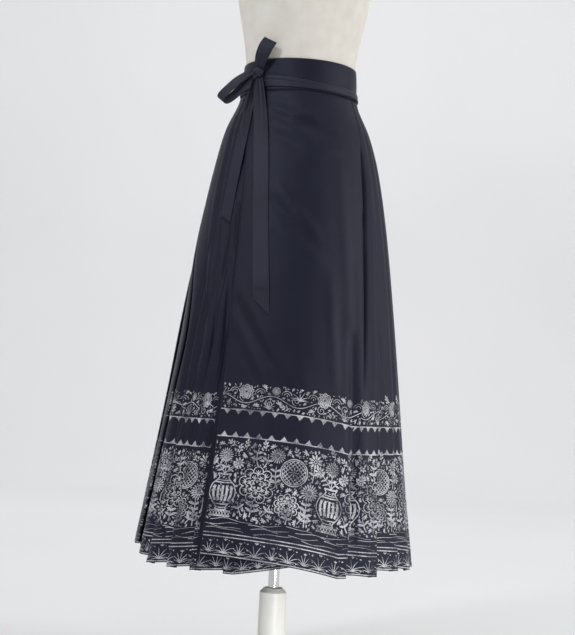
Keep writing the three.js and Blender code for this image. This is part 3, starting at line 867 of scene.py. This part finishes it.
def vase(pattern, x, foot, size):
    """A fluted vase on a low latticed stand."""
    half, up = np.array(VASE_PROFILE, float).T * size
    heights = np.linspace(0, up[-1], 22)
    widths = np.interp(heights, up, half)
    for side in (-1, 1):
        pattern.stroke(np.column_stack([x + side * widths, foot + heights]), 1.9)
    for k in range(-2, 3):
        inside = (heights > 15 * size) & (heights < 45 * size)
        line = np.column_stack([x + widths[inside] * k / 2.9, foot + heights[inside]])
        pattern.stroke(line, 4.4 * size)
    for height, width in ((0, 2.4), (4, 1.6), (10, 1.8), (49, 2.4), (53, 1.6), (64, 3.0)):
        reach = np.interp(height * size, up, half)
        y = foot + height * size
        pattern.stroke([(x - reach, y), (x, y - 1.2), (x + reach, y)], width)
    stand, low = 20 * size, foot - 12 * size
    for y in (foot - 2.4, low):
        pattern.stroke([(x - stand, y), (x + stand, y)], 2.2)
    count = 7
    for k in range(count):
        left = x - stand + 2 * stand * k / count
        right = left + 2 * stand / count
        pattern.stroke([(left, low), (right, foot - 2.4)], 1.4)
        pattern.stroke([(right, low), (left, foot - 2.4)], 1.4)


def medallion(pattern, x, y, radius):
    """A round panel of lattice with a rim and a flower in its middle."""
    for share, width in ((1.0, 1.9), (0.88, 1.3)):
        pattern.ring(x, y, radius * share, 0, 360, width, 32)
    inside, hole, gap = radius * 0.86, radius * 0.42, 5.4
    count = int(inside / gap)
    for slope in (45, -45):
        c, s = math.cos(math.radians(slope)), math.sin(math.radians(slope))
        for k in range(-count, count + 1):
            d = k * gap
            far = math.sqrt(max(inside**2 - d**2, 0))
            near = math.sqrt(max(hole**2 - d**2, 0))
            for low, high in ((-far, -near), (near, far)):
                if high - low > 1:
                    ends = [(x - d * s + t * c, y + d * c + t * s) for t in (low, high)]
                    pattern.stroke(ends, 1.3)
    star_flower(pattern, x, y, radius * 0.42, 8, 2.2)


def flowing_ground(pattern, low, high):
    """Long wavy lines like water, in four rows."""
    steps = int(pattern.length / 6) + 2
    along = np.linspace(0, pattern.length, steps)
    for row in range(4):
        y = low + (high - low) * row / 3
        wave = 2.4 * np.sin(along / 19 + row * 1.9) + 1.1 * np.sin(along / 8.3 + row)
        cut = pattern.random.randint(0, 3)
        while cut < steps - 3:
            run = pattern.random.randint(7, 14)
            piece = np.column_stack([along, y + wave])[cut : cut + run]
            if len(piece) > 2:
                pattern.stroke(piece, 1.1, 0.4)
            cut += run + pattern.random.randint(0, 2)
    pattern.settle()


def sprig(pattern, x, y, angle, size):
    """A small twig with five leaves."""
    pattern.blade(x, y, angle, size, 0.5, 1.2, 0.5, 4)
    for share, lean in ((0.3, -0.9), (0.45, 0.9), (0.7, -0.8), (0.8, 0.8), (0.95, 0)):
        foot = around(x, y, size * share, angle)
        pattern.leaf(*foot, angle + lean, size * 0.45, 0.4, size * 0.2)


def fan(pattern, x, y, angle, size):
    """Five leaves from one place."""
    for k in range(5):
        lean = (k - 2) * 0.62
        pattern.leaf(x, y, angle + lean, size * 0.62, 0.3 * lean, size * 0.23)


def bud(pattern, x, y, angle, size):
    for lean in (-0.8, 0.1, 0.9):
        pattern.leaf(x, y, angle + lean, size * 0.7, 0.4, size * 0.3)


# Small motifs: size, shape and the area for each that is tried, in square millimetres
FILLERS = [(15, sprig, 120), (11, fan, 60), (8, fan, 40), (6, bud, 25)]
AREA_OF_LEAF = 11


def fill(pattern, low, high, share):
    """Small twigs, fans of leaves, buds and leaves in the bare places between two heights."""
    area = pattern.length * (high - low)
    for size, draw, area_of_one in FILLERS:
        for _ in range(int(share * area / area_of_one)):
            x = pattern.random.uniform(0, pattern.length)
            y = pattern.random.uniform(low, high - size * 0.5)
            pattern.place_if_free(draw, x, y, pattern.random.uniform(0, 6.3), size)
    for _ in range(int(share * area / AREA_OF_LEAF)):
        x, y = pattern.random.uniform(0, pattern.length), pattern.random.uniform(low, high - 4)
        turn = pattern.random.uniform(0, 6.3)
        pattern.place_if_free(Pattern.leaf, x, y, turn, pattern.random.uniform(3, 5), 0.5, 1.5)


TALL_PITCH = 196  # length of one repeat of the tall border
WATER = (49, 66)  # heights of the rippling water
FLOWERS = (69, 211)  # heights between which the flowers stand
# Branches in each repeat: place, lean, length, bend and leaf size
BRANCHES = [
    (56, 76, 0.15, 28, -0.1, 17),
    (76, 80, 0.9, 26, -0.7, 15),
    (40, 78, -0.6, 24, 0.5, 15),
    (60, 168, -0.5, 34, 0.9, 15),
    (70, 166, 0.6, 26, -0.8, 14),
    (120, 72, 0.1, 16, 0, 14),
    (152, 72, 0.05, 48, -0.1, 17),
    (158, 152, 0.2, 26, -0.3, 14),
    (98, 132, -0.4, 40, 0.5, 13),
    (140, 76, 0.5, 30, 0.5, 14),
]


def tall_border(pattern):
    """Vases of flowers and full-blown flowers among leaves, over rippling water."""
    flowing_ground(pattern, *WATER)
    for k in range(int(pattern.length / TALL_PITCH) + 2):
        x = (k - 0.86) * TALL_PITCH
        vase(pattern, x, 84, 1.0)
        for lean, length, bend in ((-0.6, 36, -0.4), (0.05, 34, -0.2), (0.65, 33, 0.4)):
            tip = leafy_stem(pattern, x, 148, lean, length, bend, 12)
            if 0 < lean < 0.1:
                aster(pattern, *tip, 14)
            else:
                star_flower(pattern, *tip, 11, 9, 3.4)
        peony(pattern, x + 62, 134, 30)
        for dx, dy, lean, length, bend, leaf in BRANCHES:
            leafy_stem(pattern, x + dx, dy, lean, length, bend, leaf, 2.2)
        aster(pattern, x + 92, 190, 14)
        medallion(pattern, x + 124, 164, 24)
        peony(pattern, x + 118, 104, 20)
        aster(pattern, x + 156, 134, 16)
        star_flower(pattern, x + 160, 190, 14, 10, 3.8)
    pattern.settle()
    fill(pattern, *FLOWERS, 1.4)


VINE_PITCH = 47  # length of one wave of the top border's vine
VINE_FOOT = UPPER_TEETH_LINE + 3


def top_border(pattern):
    """A running vine of flowers and scrolls with an uneven upper edge."""
    foot = VINE_FOOT
    for k in range(int(pattern.length / VINE_PITCH) + 2):
        x = (k - 0.5) * VINE_PITCH
        up = 1 if k % 2 == 0 else -1
        waves = [(s, up * 8 * math.sin(math.pi * s)) for s in np.linspace(0, 1, 10)]
        vine = [(x + VINE_PITCH * s, foot + 18 + wave) for s, wave in waves]
        pattern.stroke(vine, 1.4)
        pattern.scroll(x + VINE_PITCH * 0.42, foot + 17 - up * 5, 8.5, 90 * up, up * 1.4, 1.2)
        if k % 3 == 0:
            tuft(pattern, x + 26, foot + 23, 19, SPREADING_TUFT, 1.8)
        elif k % 3 == 1:
            peony(pattern, x + 24, foot + 31, 12)
        else:
            tuft(pattern, x + 20, foot + 2, 18, SLENDER_TUFT, 1.8)
            aster(pattern, x + 30, foot + 36, 8)
        for radius in (9, 5):
            pattern.ring(x + 2, foot + 29, radius, 8, 172, 1.0, 8)
    pattern.settle()
    fill(pattern, foot, foot + 36, 0.85)
    fill(pattern, foot + 30, foot + 47, 0.6)


def all_borders(cloth, seed):
    """A bordered piece's pattern, from the hem up."""
    pattern = Pattern(seed, float(cloth.along[-1]))
    hem_border(pattern)
    tall_border(pattern)
    teeth(pattern, LOWER_TEETH_LINE, 1)
    teeth(pattern, UPPER_TEETH_LINE, -1)
    top_border(pattern)
    return pattern


def hem_only(cloth, seed):
    pattern = Pattern(seed, float(cloth.along[-1]))
    hem_border(pattern)
    return pattern


STROKE_STEP = 5  # the longest part of a stroke between two of its points
UPRIGHT_WITHIN = 0.05  # a part that goes less far along the cloth isn't cut at its columns
LEAST_PART = 0.02  # no cut is nearer than this share to a part's end
LOWEST_STITCH = 0.8
NO_LIMIT = 1000
THREAD_RISE = SHELL / 2 + 0.25
EDGE_MARGIN = 2.5  # embroidery stops this far from the cloth's side edges


def finer(points, widths, stops):
    """A stroke cut at every column line that it crosses, and wherever it is long."""
    cuts = [0.0]
    lengths = np.linalg.norm(np.diff(points, axis=0), axis=1)
    for i, size in enumerate(lengths):
        x0, x1 = points[i, 0], points[i + 1, 0]
        inner = []
        if abs(x1 - x0) > UPRIGHT_WITHIN:
            low, high = np.searchsorted(stops, [min(x0, x1), max(x0, x1)])
            inner += [(stop - x0) / (x1 - x0) for stop in stops[low:high]]
        parts = int(size // STROKE_STEP)
        inner += [(k + 1) / (parts + 1) for k in range(parts)]
        inside = [s for s in sorted(inner) if LEAST_PART < s < 1 - LEAST_PART]
        cuts += [i + s for s in inside] + [i + 1.0]
    cuts = np.array(cuts)
    index = np.arange(len(points))
    fine = np.column_stack([np.interp(cuts, index, points[:, k]) for k in range(2)])
    return fine, np.interp(cuts, index, widths)


def embroider(name, cloth, pattern, highest=NO_LIMIT):
    """Lays a pattern's strokes on a cloth piece as narrow raised strips of thread."""
    stitched = np.append(np.minimum(cloth.stitched[:-1], cloth.stitched[1:]), 0)
    start, end = EDGE_MARGIN, cloth.along[-1] - EDGE_MARGIN
    vertices, faces = [], []
    count = 0
    for points, widths in pattern.strokes:
        if points[:, 0].max() < start or points[:, 0].min() > end:
            continue
        points, widths = finer(points, widths, cloth.along)
        # Stitches are thinned where a section asks for it: painted shade on the pleat at the
        # wearer's right side.
        share = stitched[cloth.column_of(points[:, 0])]
        widths = widths * np.where(share > 0, share, 1)
        tangents = np.gradient(points, axis=0)
        tangents /= np.maximum(np.linalg.norm(tangents, axis=1, keepdims=True), 1e-6)
        aside = np.column_stack([-tangents[:, 1], tangents[:, 0]]) * widths[:, None] / 2
        sides = []
        for side in (1, -1):
            edge = points + aside * side
            along = np.clip(edge[:, 0], start, end)
            up = np.clip(edge[:, 1], LOWEST_STITCH, highest)
            sides.append(cloth.places(along, up, THREAD_RISE))
        middle = (points[:-1, 0] + points[1:, 0]) / 2
        keep = (stitched[cloth.column_of(middle)] > 0) & (middle > start) & (middle < end)
        keep &= points[:-1, 1] < highest
        vertices.append(np.stack(sides, 1).reshape(-1, 3))
        for i in np.nonzero(keep)[0]:
            a = count + 2 * int(i)
            faces.append((a, a + 1, a + 3, a + 2))
        count += 2 * len(points)
    obj = make_object(name, np.concatenate(vertices), faces)
    obj.data.validate()
    finish_piece(obj, THREAD)
    return obj


# Cloth pieces
INNER_STARTS_UP = 75  # only this much of the front inner panel's border shows

front_inner = Cloth(front_inner_section, panel_lift)
front_inner_cloth = make_cloth("front_inner_cloth", "front_inner_panel", front_inner)
pattern = hem_only(front_inner, 3)
embroidery = embroider("front_inner_embroidery", front_inner, pattern, INNER_STARTS_UP)
hang(front_inner_cloth, front_inner, [embroidery])

BORDERED = [
    ("front_outer", "front_outer_panel", front_outer_section, panel_lift, 1),
    ("left_pleats", "left_side_pleats", left_pleats_section, pleat_lift, 5),
    ("right_pleats", "right_side_pleats", right_pleats_section, pleat_lift, 7),
    ("back_outer", "back_outer_panel", back_outer_section, panel_lift, 9),
]
for name, node, section, lift, seed in BORDERED:
    cloth = Cloth(section, lift)
    obj = make_cloth(name + "_cloth", node, cloth)
    hang(obj, cloth, [embroider(name + "_embroidery", cloth, all_borders(cloth, seed))])

back_inner = Cloth(back_inner_section, panel_lift)
hang(make_cloth("back_inner_cloth", "back_inner_panel", back_inner), back_inner)


# Waistband and the tie round it: bands that close on themselves
BAND_OUT = 0.9
BAND_WALL = 3
RIBBON_WALL = 1.2
KNOT = {"x": -81, "up": 927, "width": 12, "depth": 8, "height": 10}
TIE_OUT = BAND_OUT + BAND_WALL / 2 + SEAM + RIBBON_WALL / 2
KNOT_OUT = TIE_OUT + RIBBON_WALL / 2 + SEAM + KNOT["depth"]
knot_turn = math.asin(KNOT["x"] / (column(FORM, KNOT["up"], "width") + KNOT_OUT))
BAND_STEPS = 180


def around_band(profile):
    """Rows of points round the form. profile(turn) lists (up, out) across the band."""
    turns = np.linspace(0, 2 * math.pi, BAND_STEPS, endpoint=False)
    columns = []
    for turn in turns:
        line = []
        for up, out in profile(turn):
            x, y = on_form(up, turn, out)
            line.append((x, y, HEM_Z + up))
        columns.append(line)
    return np.array(columns).transpose(1, 0, 2)


def closed_band(name, points, material):
    """A closed ring whose section is the closed loop of rows."""
    rows, columns = points.shape[:2]
    looped = np.concatenate([points, points[:1]])
    faces = grid_faces(rows + 1, columns, closed=True)
    faces = [[corner % (rows * columns) for corner in face] for face in faces]
    steps = np.linalg.norm(np.diff(looped, axis=0), axis=2).mean(1)
    heights = np.concatenate([[0], np.cumsum(steps)])[:-1]
    lengths = np.linspace(0, np.linalg.norm(np.diff(points[0], axis=0), axis=1).sum(), columns)
    obj = make_object(name, points.reshape(-1, 3), faces, uv_grid(lengths * MM, heights * MM))
    return finish_piece(obj, material)


def near_knot(turn):
    """Falls from 1 at the knot to 0 a quarter turn away."""
    return max(0.0, math.cos(turn - knot_turn))


def waistband_profile(turn):
    """The band's section: a soft outer face with rounded edges, then its inner face."""
    outer, inner = BAND_OUT + BAND_WALL / 2, BAND_OUT - BAND_WALL / 2
    middle = (outer + inner) / 2
    pull = near_knot(turn) ** 10
    points = [(BAND_BOTTOM + 0.2, middle), (BAND_BOTTOM + 0.6, outer - 0.5)]
    for i in range(12):
        share = i / 11
        up = BAND_BOTTOM + 1.6 + (SKIRT_TOP - BAND_BOTTOM - 3.2) * share
        soft = 0.35 * math.sin(7 * turn + 5 * share) * math.sin(math.pi * share)
        wrinkle = pull * 0.5 * math.sin(16 * share + 3 * turn)
        points.append((up, outer + soft - 0.35 + wrinkle))
    points += [(SKIRT_TOP - 0.6, outer - 0.6), (SKIRT_TOP - 0.1, middle)]
    points += [(SKIRT_TOP - 0.6, inner + 0.5), (SKIRT_TOP - 6, inner)]
    points += [(BAND_BOTTOM + 6, inner), (BAND_BOTTOM + 0.6, inner + 0.5)]
    return points


WRAP_BOTTOM = 896
WRAP_TOP = 909
BOTTOM_CLIMB = 4
TOP_CLIMB = 15
WRAP_STEPS = 16


def wrap_profile(turn):
    """The tie is folded to half its width, with soft lengthwise creases."""
    inner, outer = TIE_OUT - 0.5, TIE_OUT + 0.5
    climb = near_knot(turn) ** 3
    bottom, top = WRAP_BOTTOM + BOTTOM_CLIMB * climb, WRAP_TOP + TOP_CLIMB * climb
    points = [(bottom, TIE_OUT - 0.1)]
    for i in range(1, WRAP_STEPS):
        share = i / WRAP_STEPS
        fold = 0.28 * math.sin(share * 9 + 0.6 * math.sin(2 * turn))
        fold += climb * 0.5 * math.sin(share * 20 + 2 * turn)
        edge = math.sin(math.pi * share) ** 0.35
        points.append((bottom + (top - bottom) * share, inner + (outer - inner + fold) * edge))
    return points + [(top, TIE_OUT - 0.1), ((top + bottom) / 2, inner)]


points = around_band(waistband_profile)
waistband = closed_band("waistband_cloth", points, SKIRT_CLOTH)
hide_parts("waistband")
points = around_band(wrap_profile)
tie_wrap = closed_band("tie_wrap_cloth", points, RIBBON_CLOTH_WITH_PAINTED_LIGHT)
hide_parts("tie_wrap")


# Ribbons. A row holds the centre, the half width as a vector and how deep the ribbon cups.
def smooth_rows(rows, count):
    """More rows on a Catmull-Rom curve through the given ones."""
    given = np.array(rows, float)
    padded = np.concatenate([[2 * given[0] - given[1]], given, [2 * given[-1] - given[-2]]])
    out = []
    for at in np.linspace(0, len(given) - 1, count):
        i = min(int(at), len(given) - 2)
        t = at - i
        p0, p1, p2, p3 = padded[i : i + 4]
        out.append(
            0.5 * (2 * p1 + (p2 - p0) * t + (2 * p0 - 5 * p1 + 4 * p2 - p3) * t**2
                   + (3 * p1 - p0 - 3 * p2 + p3) * t**3)
        )
    return np.array(out)


ACROSS = 12  # strips across a ribbon


def ribbon(name, node, rows, count, flat):
    """A flat tie: rows of (x, y, up, half x, half y, half up, cup, gather)."""
    fine = smooth_rows(rows, count)
    centres = fine[:, :3] + np.array([0, 0, HEM_Z])
    halves = fine[:, 3:6]
    tangents = np.gradient(centres, axis=0)
    normals = np.cross(halves, tangents)
    normals /= np.linalg.norm(normals, axis=1, keepdims=True)
    share = np.linspace(-1, 1, ACROSS + 1)
    grid = np.zeros((count, ACROSS + 1, 3))
    for j, s in enumerate(share):
        bulge = fine[:, 6] * (1 - s * s) + fine[:, 7] * np.cos(s * 2.6 * np.pi) * (1 - s * s) ** 0.5
        grid[:, j] = centres + halves * s + normals * bulge[:, None]
    lengths = np.concatenate([[0], np.cumsum(np.linalg.norm(np.diff(centres, axis=0), axis=1))])
    uvs = uv_grid(share * flat[0] / 2, lengths * MM)
    obj = make_object(name, grid.reshape(-1, 3), grid_faces(count, ACROSS + 1), uvs)
    thicken(obj, RIBBON_SHELL)
    finish_piece(obj, RIBBON_CLOTH_WITH_PAINTED_LIGHT)
    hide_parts(node)
    return obj


def tail_rows(tail):
    """The ribbon's rows where it lies on the skirt."""
    rows = []
    for row in tail:
        up, out = row["up"], row["out"]
        turn = math.asin((row["x"] - column(FORM, up, "shift")) / (column(FORM, up, "width") + out))
        place = on_form(up, turn, out)
        edge = on_form(up, turn + arc(up, turn, row["half"]), out) - place
        rows.append((*place, up, *edge, row["slant"], row["cup"], row["gather"]))
    return rows


LONG_TAIL = named_rows(
    "up x half out slant cup gather",
    (473, -49, 14.5, 9, -14, 0, 0),
    (500, -51, 15, 8.8, -2, -1, 0),
    (527, -53, 15, 8.5, 0, 0.6, 0),
    (640, -60, 15, 6.8, 0, -0.5, 0),
    (760, -66, 15, 6.4, 0, -0.6, 0),
    (830, -71, 14, 7.5, 0, -1.2, 0.4),
    (880, -76, 12, 10, 0, -2, 0.9),
    (916.8, -80, 9, 12.7, 0, -2, 1.2),
)
SHORT_TAIL = named_rows(
    "up x half out slant cup gather",
    (638, -126, 12, 2.6, -8, 0, 0),
    (700, -118, 12.5, 2.8, 0, -0.4, 0),
    (760, -110, 12.5, 4.9, 0, -0.5, 0),
    (830, -99, 11, 5.6, 0, -0.8, 0.3),
    (880, -92, 9, 7, 0, -1.2, 0.7),
    (917, -87, 5, 10.5, 0, -1, 0.8),
)
rows = tail_rows(LONG_TAIL)
ribbon("tie_tail_long_cloth", "tie_tail_long", rows, 90, (0.030, 0.445))
rows = tail_rows(SHORT_TAIL)
ribbon("tie_tail_short_cloth", "tie_tail_short", rows, 60, (0.026, 0.285))

knot_place = on_form(KNOT["up"], knot_turn, KNOT_OUT)


def loop_rows(loop, half):
    """The ribbon's rows in a loop, from the knot out and back."""
    rows = []
    for aside, up, away, share, cup, gather in loop:
        place = (knot_place[0] + aside, knot_place[1] - away, KNOT["up"] + up)
        rows.append((*place, *(np.array(half) * share), cup, gather))
    return rows


# Columns: aside, up, away, share of the width, cup, gather
SIDE_LOOP = [
    (-10, 3, 0, 0.5, 0.8, 1.0),
    (-23, -7, 6, 0.8, 1.2, 0.7),
    (-38, -20, 9, 1, 1.0, 0.3),
    (-52, -34, 10, 1, 0.6, 0),
    (-64, -47, 10, 1, 0.2, 0),
    (-68, -55, 10, 1, 0, 0),
    (-65, -60, 10, 1, 0, 0),
    (-57, -59, 10, 1, 0.2, 0),
    (-45, -50, 10, 1, 0.6, 0),
    (-33, -37, 9, 1, 1.0, 0.3),
    (-22, -21, 6, 0.8, 1.2, 0.7),
    (-10, -6, 0, 0.5, 0.8, 1.0),
]
UP_LOOP = [
    (1, 10.9, 3, 0.7, -1.2, 1.1),
    (5, 28, 13, 0.9, -1.0, 0.7),
    (12, 45, 18, 1, -0.5, 0.2),
    (20, 58, 18, 1, 0, 0),
    (20, 59, 15, 1, 0, 0),
    (13, 47, 12, 1, 0.5, 0.2),
    (6, 29, 8, 0.9, 0.8, 0.6),
    (1, 11.3, -1, 0.7, 1.0, 1.0),
]
rows = loop_rows(SIDE_LOOP, (-6.6, 7.6, 6.6))
ribbon("bow_loop_side_cloth", "bow_loop_side", rows, 90, (0.0235, 0.175))
rows = loop_rows(UP_LOOP, (-12, 3, 6))
ribbon("bow_loop_up_cloth", "bow_loop_up", rows, 80, (0.027, 0.108))


def make_knot():
    """The knot: a soft ball with the ribbon's folds wound slantwise round it."""
    rows, columns = 28, 48
    points = []
    for i in range(rows + 1):
        polar = math.pi * i / rows
        for j in range(columns):
            a = 2 * math.pi * j / columns
            slant = math.cos(polar) * 5 + 2.2 * a
            wrinkle = 1 + 0.055 * math.sin(3 * slant) + 0.03 * math.sin(7 * math.cos(polar) + a)
            belly = 1 - 0.10 * math.cos(polar) ** 2
            x = KNOT["width"] * math.sin(polar) * math.cos(a) * wrinkle * belly
            y = KNOT["depth"] * math.sin(polar) * math.sin(a) * wrinkle
            z = KNOT["height"] * math.cos(polar) * (1 + 0.02 * math.sin(3 * a))
            points.append((x, y, z))
    place = Matrix.Translation((*knot_place, HEM_Z + KNOT["up"]))
    place = place @ Matrix.Rotation(knot_turn, 4, "Z")
    points = [tuple(place @ Vector(p)) for p in points]
    faces = [(a, d, c, b) for a, b, c, d in grid_faces(rows + 1, columns, closed=True)]
    uvs = [(j / columns * 0.07, i / rows * 0.05) for i in range(rows + 1) for j in range(columns)]
    obj = make_object("bow_knot_cloth", points, faces, uvs)
    finish_piece(obj, RIBBON_CLOTH_WITH_PAINTED_LIGHT)
    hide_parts("bow_knot")


make_knot()


# The dress form
TORSO = named_rows(
    "up width front back",
    (800, 138, 104, 112),
    (806, 146, 110, 119),
    (850, 155, 116, 128),
    (930, 153, 113, 131),
    (1000, 143, 105, 124),
    (1060, 125, 96, 108),
    (1110, 109, 92, 97),
    (1150, 106.3, 93, 94),
    (1185, 106.8, 93.8, 94.8),
    (1240, 114, 99, 96),
    (1310, 128, 112, 104),
    (1370, 138, 122, 108),
    (1430, 150, 112, 108),
    (1480, 162, 92, 102),
    (1515, 160, 74, 90),
    (1540, 132, 62, 76),
    (1556, 96, 56, 64),
    (1572, 66, 52, 54),
    (1600, 55, 50, 48),
    (1630, 53, 48, 46),
)
TORSO_SIDES = 96
TORSO_STEP = 7
TORSO_SEAMS = (0, 38, 90, 142, 180, 218, 270, 322)  # degrees from the centre of the front
GROOVE_DEPTH = 0.005  # share of the torso's size
GROOVE_HALF = 0.03  # radians
JERSEY_RADIUS = 0.12  # metres of cloth for a radian


def make_torso():
    """The torso, smooth and whole, with sewn seams down its front, back and sides."""
    heights = []
    for low, high in zip(TORSO[:-1], TORSO[1:]):
        parts = max(2, int((high["up"] - low["up"]) / TORSO_STEP))
        heights += [low["up"] + (high["up"] - low["up"]) * k / parts for k in range(parts)]
    heights.append(TORSO[-1]["up"])
    seams = [math.radians(a) for a in TORSO_SEAMS]
    points, uvs = [], []
    for up in heights:
        width, front, back = (column(TORSO, up, key) for key in ("width", "front", "back"))
        for j in range(TORSO_SIDES):
            turn = 2 * math.pi * j / TORSO_SIDES
            depth = front if math.cos(turn) > 0 else back
            near = min(abs((turn - s + math.pi) % (2 * math.pi) - math.pi) for s in seams)
            scale = 1 - GROOVE_DEPTH * math.exp(-((near / GROOVE_HALF) ** 2))
            points.append((width * math.sin(turn) * scale, -depth * math.cos(turn) * scale, up))
            uvs.append((turn * JERSEY_RADIUS, up * MM))
    count = len(heights)
    faces = grid_faces(count, TORSO_SIDES, closed=True)
    faces.append(tuple(range(TORSO_SIDES))[::-1])
    faces.append(tuple((count - 1) * TORSO_SIDES + j for j in range(TORSO_SIDES)))
    torso = make_object("torso_jersey", points, faces, uvs)
    for polygon in list(torso.data.polygons)[-2:]:
        polygon.use_smooth = False
    finish_piece(torso, FORM_CLOTH)
    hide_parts("form_torso")


make_torso()


def dress_node(name, material):
    """A solid whose shape is right keeps its mesh and gets its own finish."""
    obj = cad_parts[name]
    obj.data.materials.clear()
    obj.data.materials.append(material)


for node in ("form_neck_cap", "form_post", "form_base"):
    dress_node(node, WHITE_PAINT)
dress_node("form_pole", CHROME)


# Studio: a pale floor that curves up into a backdrop
def make_stage():
    width, reach, wall, bend = 26.0, 6.0, 9.0, 1.5
    profile = [(-9.0, 0.0), (reach - bend, 0.0)]
    for i in range(1, 13):
        a = math.pi / 2 * i / 12
        profile.append((reach - bend + bend * math.sin(a), bend - bend * math.cos(a)))
    profile.append((reach, wall))
    points, faces = [], []
    for y, z in profile:
        points += [(-width / MM / 2, y / MM, z / MM), (width / MM / 2, y / MM, z / MM)]
    for i in range(len(profile) - 1):
        faces.append((2 * i, 2 * i + 1, 2 * i + 3, 2 * i + 2))
    stage = make_object("studio_sweep", points, faces)
    paper = Finish("studio_paper")
    paper.tones(paper.noise(0.8), (0.35, (0.82, 0.825, 0.835)), (0.7, (0.85, 0.85, 0.855)))
    paper.feed(paper.shader, {"Roughness": 0.9})
    stage.data.materials.append(paper.material)


make_stage()


def add_light(name, place, target, size, power, colour, spread=180):
    data = bpy.data.lights.new(name, "AREA")
    data.shape = "RECTANGLE"
    data.size, data.size_y = size
    data.energy = power
    data.color = colour
    data.spread = math.radians(spread)
    light = bpy.data.objects.new(name, data)
    light.location = place
    aim = Vector(target) - Vector(place)
    light.rotation_euler = aim.to_track_quat("-Z", "Y").to_euler()
    bpy.context.scene.collection.objects.link(light)


add_light("right", (2.9, -0.8, 1.5), (0, 0, 0.75), (0.9, 1.8), 40, (1, 0.985, 0.96))
add_light("left", (-1.5, -1.9, 2.5), (0, 0, 0.75), (0.35, 0.35), 24, (0.95, 0.97, 1))
add_light("top", (0, 0.4, 4.0), (0, 0.4, 0), (5.0, 5.0), 33, (1, 1, 1))
add_light("backdrop", (0.6, 2.6, 4.6), (0.6, 6.0, 1.0), (9.0, 1.2), 100, (1, 1, 1))
add_light("low", (0.5, -1.3, 0.08), (0, 0, 0.11), (0.3, 0.14), 0.6, (1, 0.99, 0.95), 50)

world = bpy.data.worlds.new("studio")
world.use_nodes = True
world.node_tree.nodes["Background"].inputs["Color"].default_value = (0.985, 0.985, 1, 1)
world.node_tree.nodes["Background"].inputs["Strength"].default_value = 0.5
bpy.context.scene.world = world
bpy.context.scene.view_settings.view_transform = "Standard"

# Camera: 2.5 m in front of the stand, a little below the middle of the skirt, turned so that
# the object leans to the right as in the photo
PHOTO_HEIGHT = 635
FOCAL_PIXELS = 1287
SENSOR = 36.0
CAMERA_PLACE = Vector((0, -2.5, 0.541))
CAMERA_UP = 3.6
CAMERA_ROLL = 3.0


def make_camera():
    data = bpy.data.cameras.new("photo_view")
    data.sensor_width = SENSOR
    data.lens = FOCAL_PIXELS / PHOTO_HEIGHT * SENSOR
    camera = bpy.data.objects.new("photo_view", data)
    aim = Matrix.Rotation(math.radians(90 + CAMERA_UP), 4, "X")
    roll = Matrix.Rotation(math.radians(CAMERA_ROLL), 4, "Z")
    camera.matrix_world = Matrix.Translation(CAMERA_PLACE) @ aim @ roll
    bpy.context.scene.collection.objects.link(camera)
    bpy.context.scene.camera = camera


make_camera()
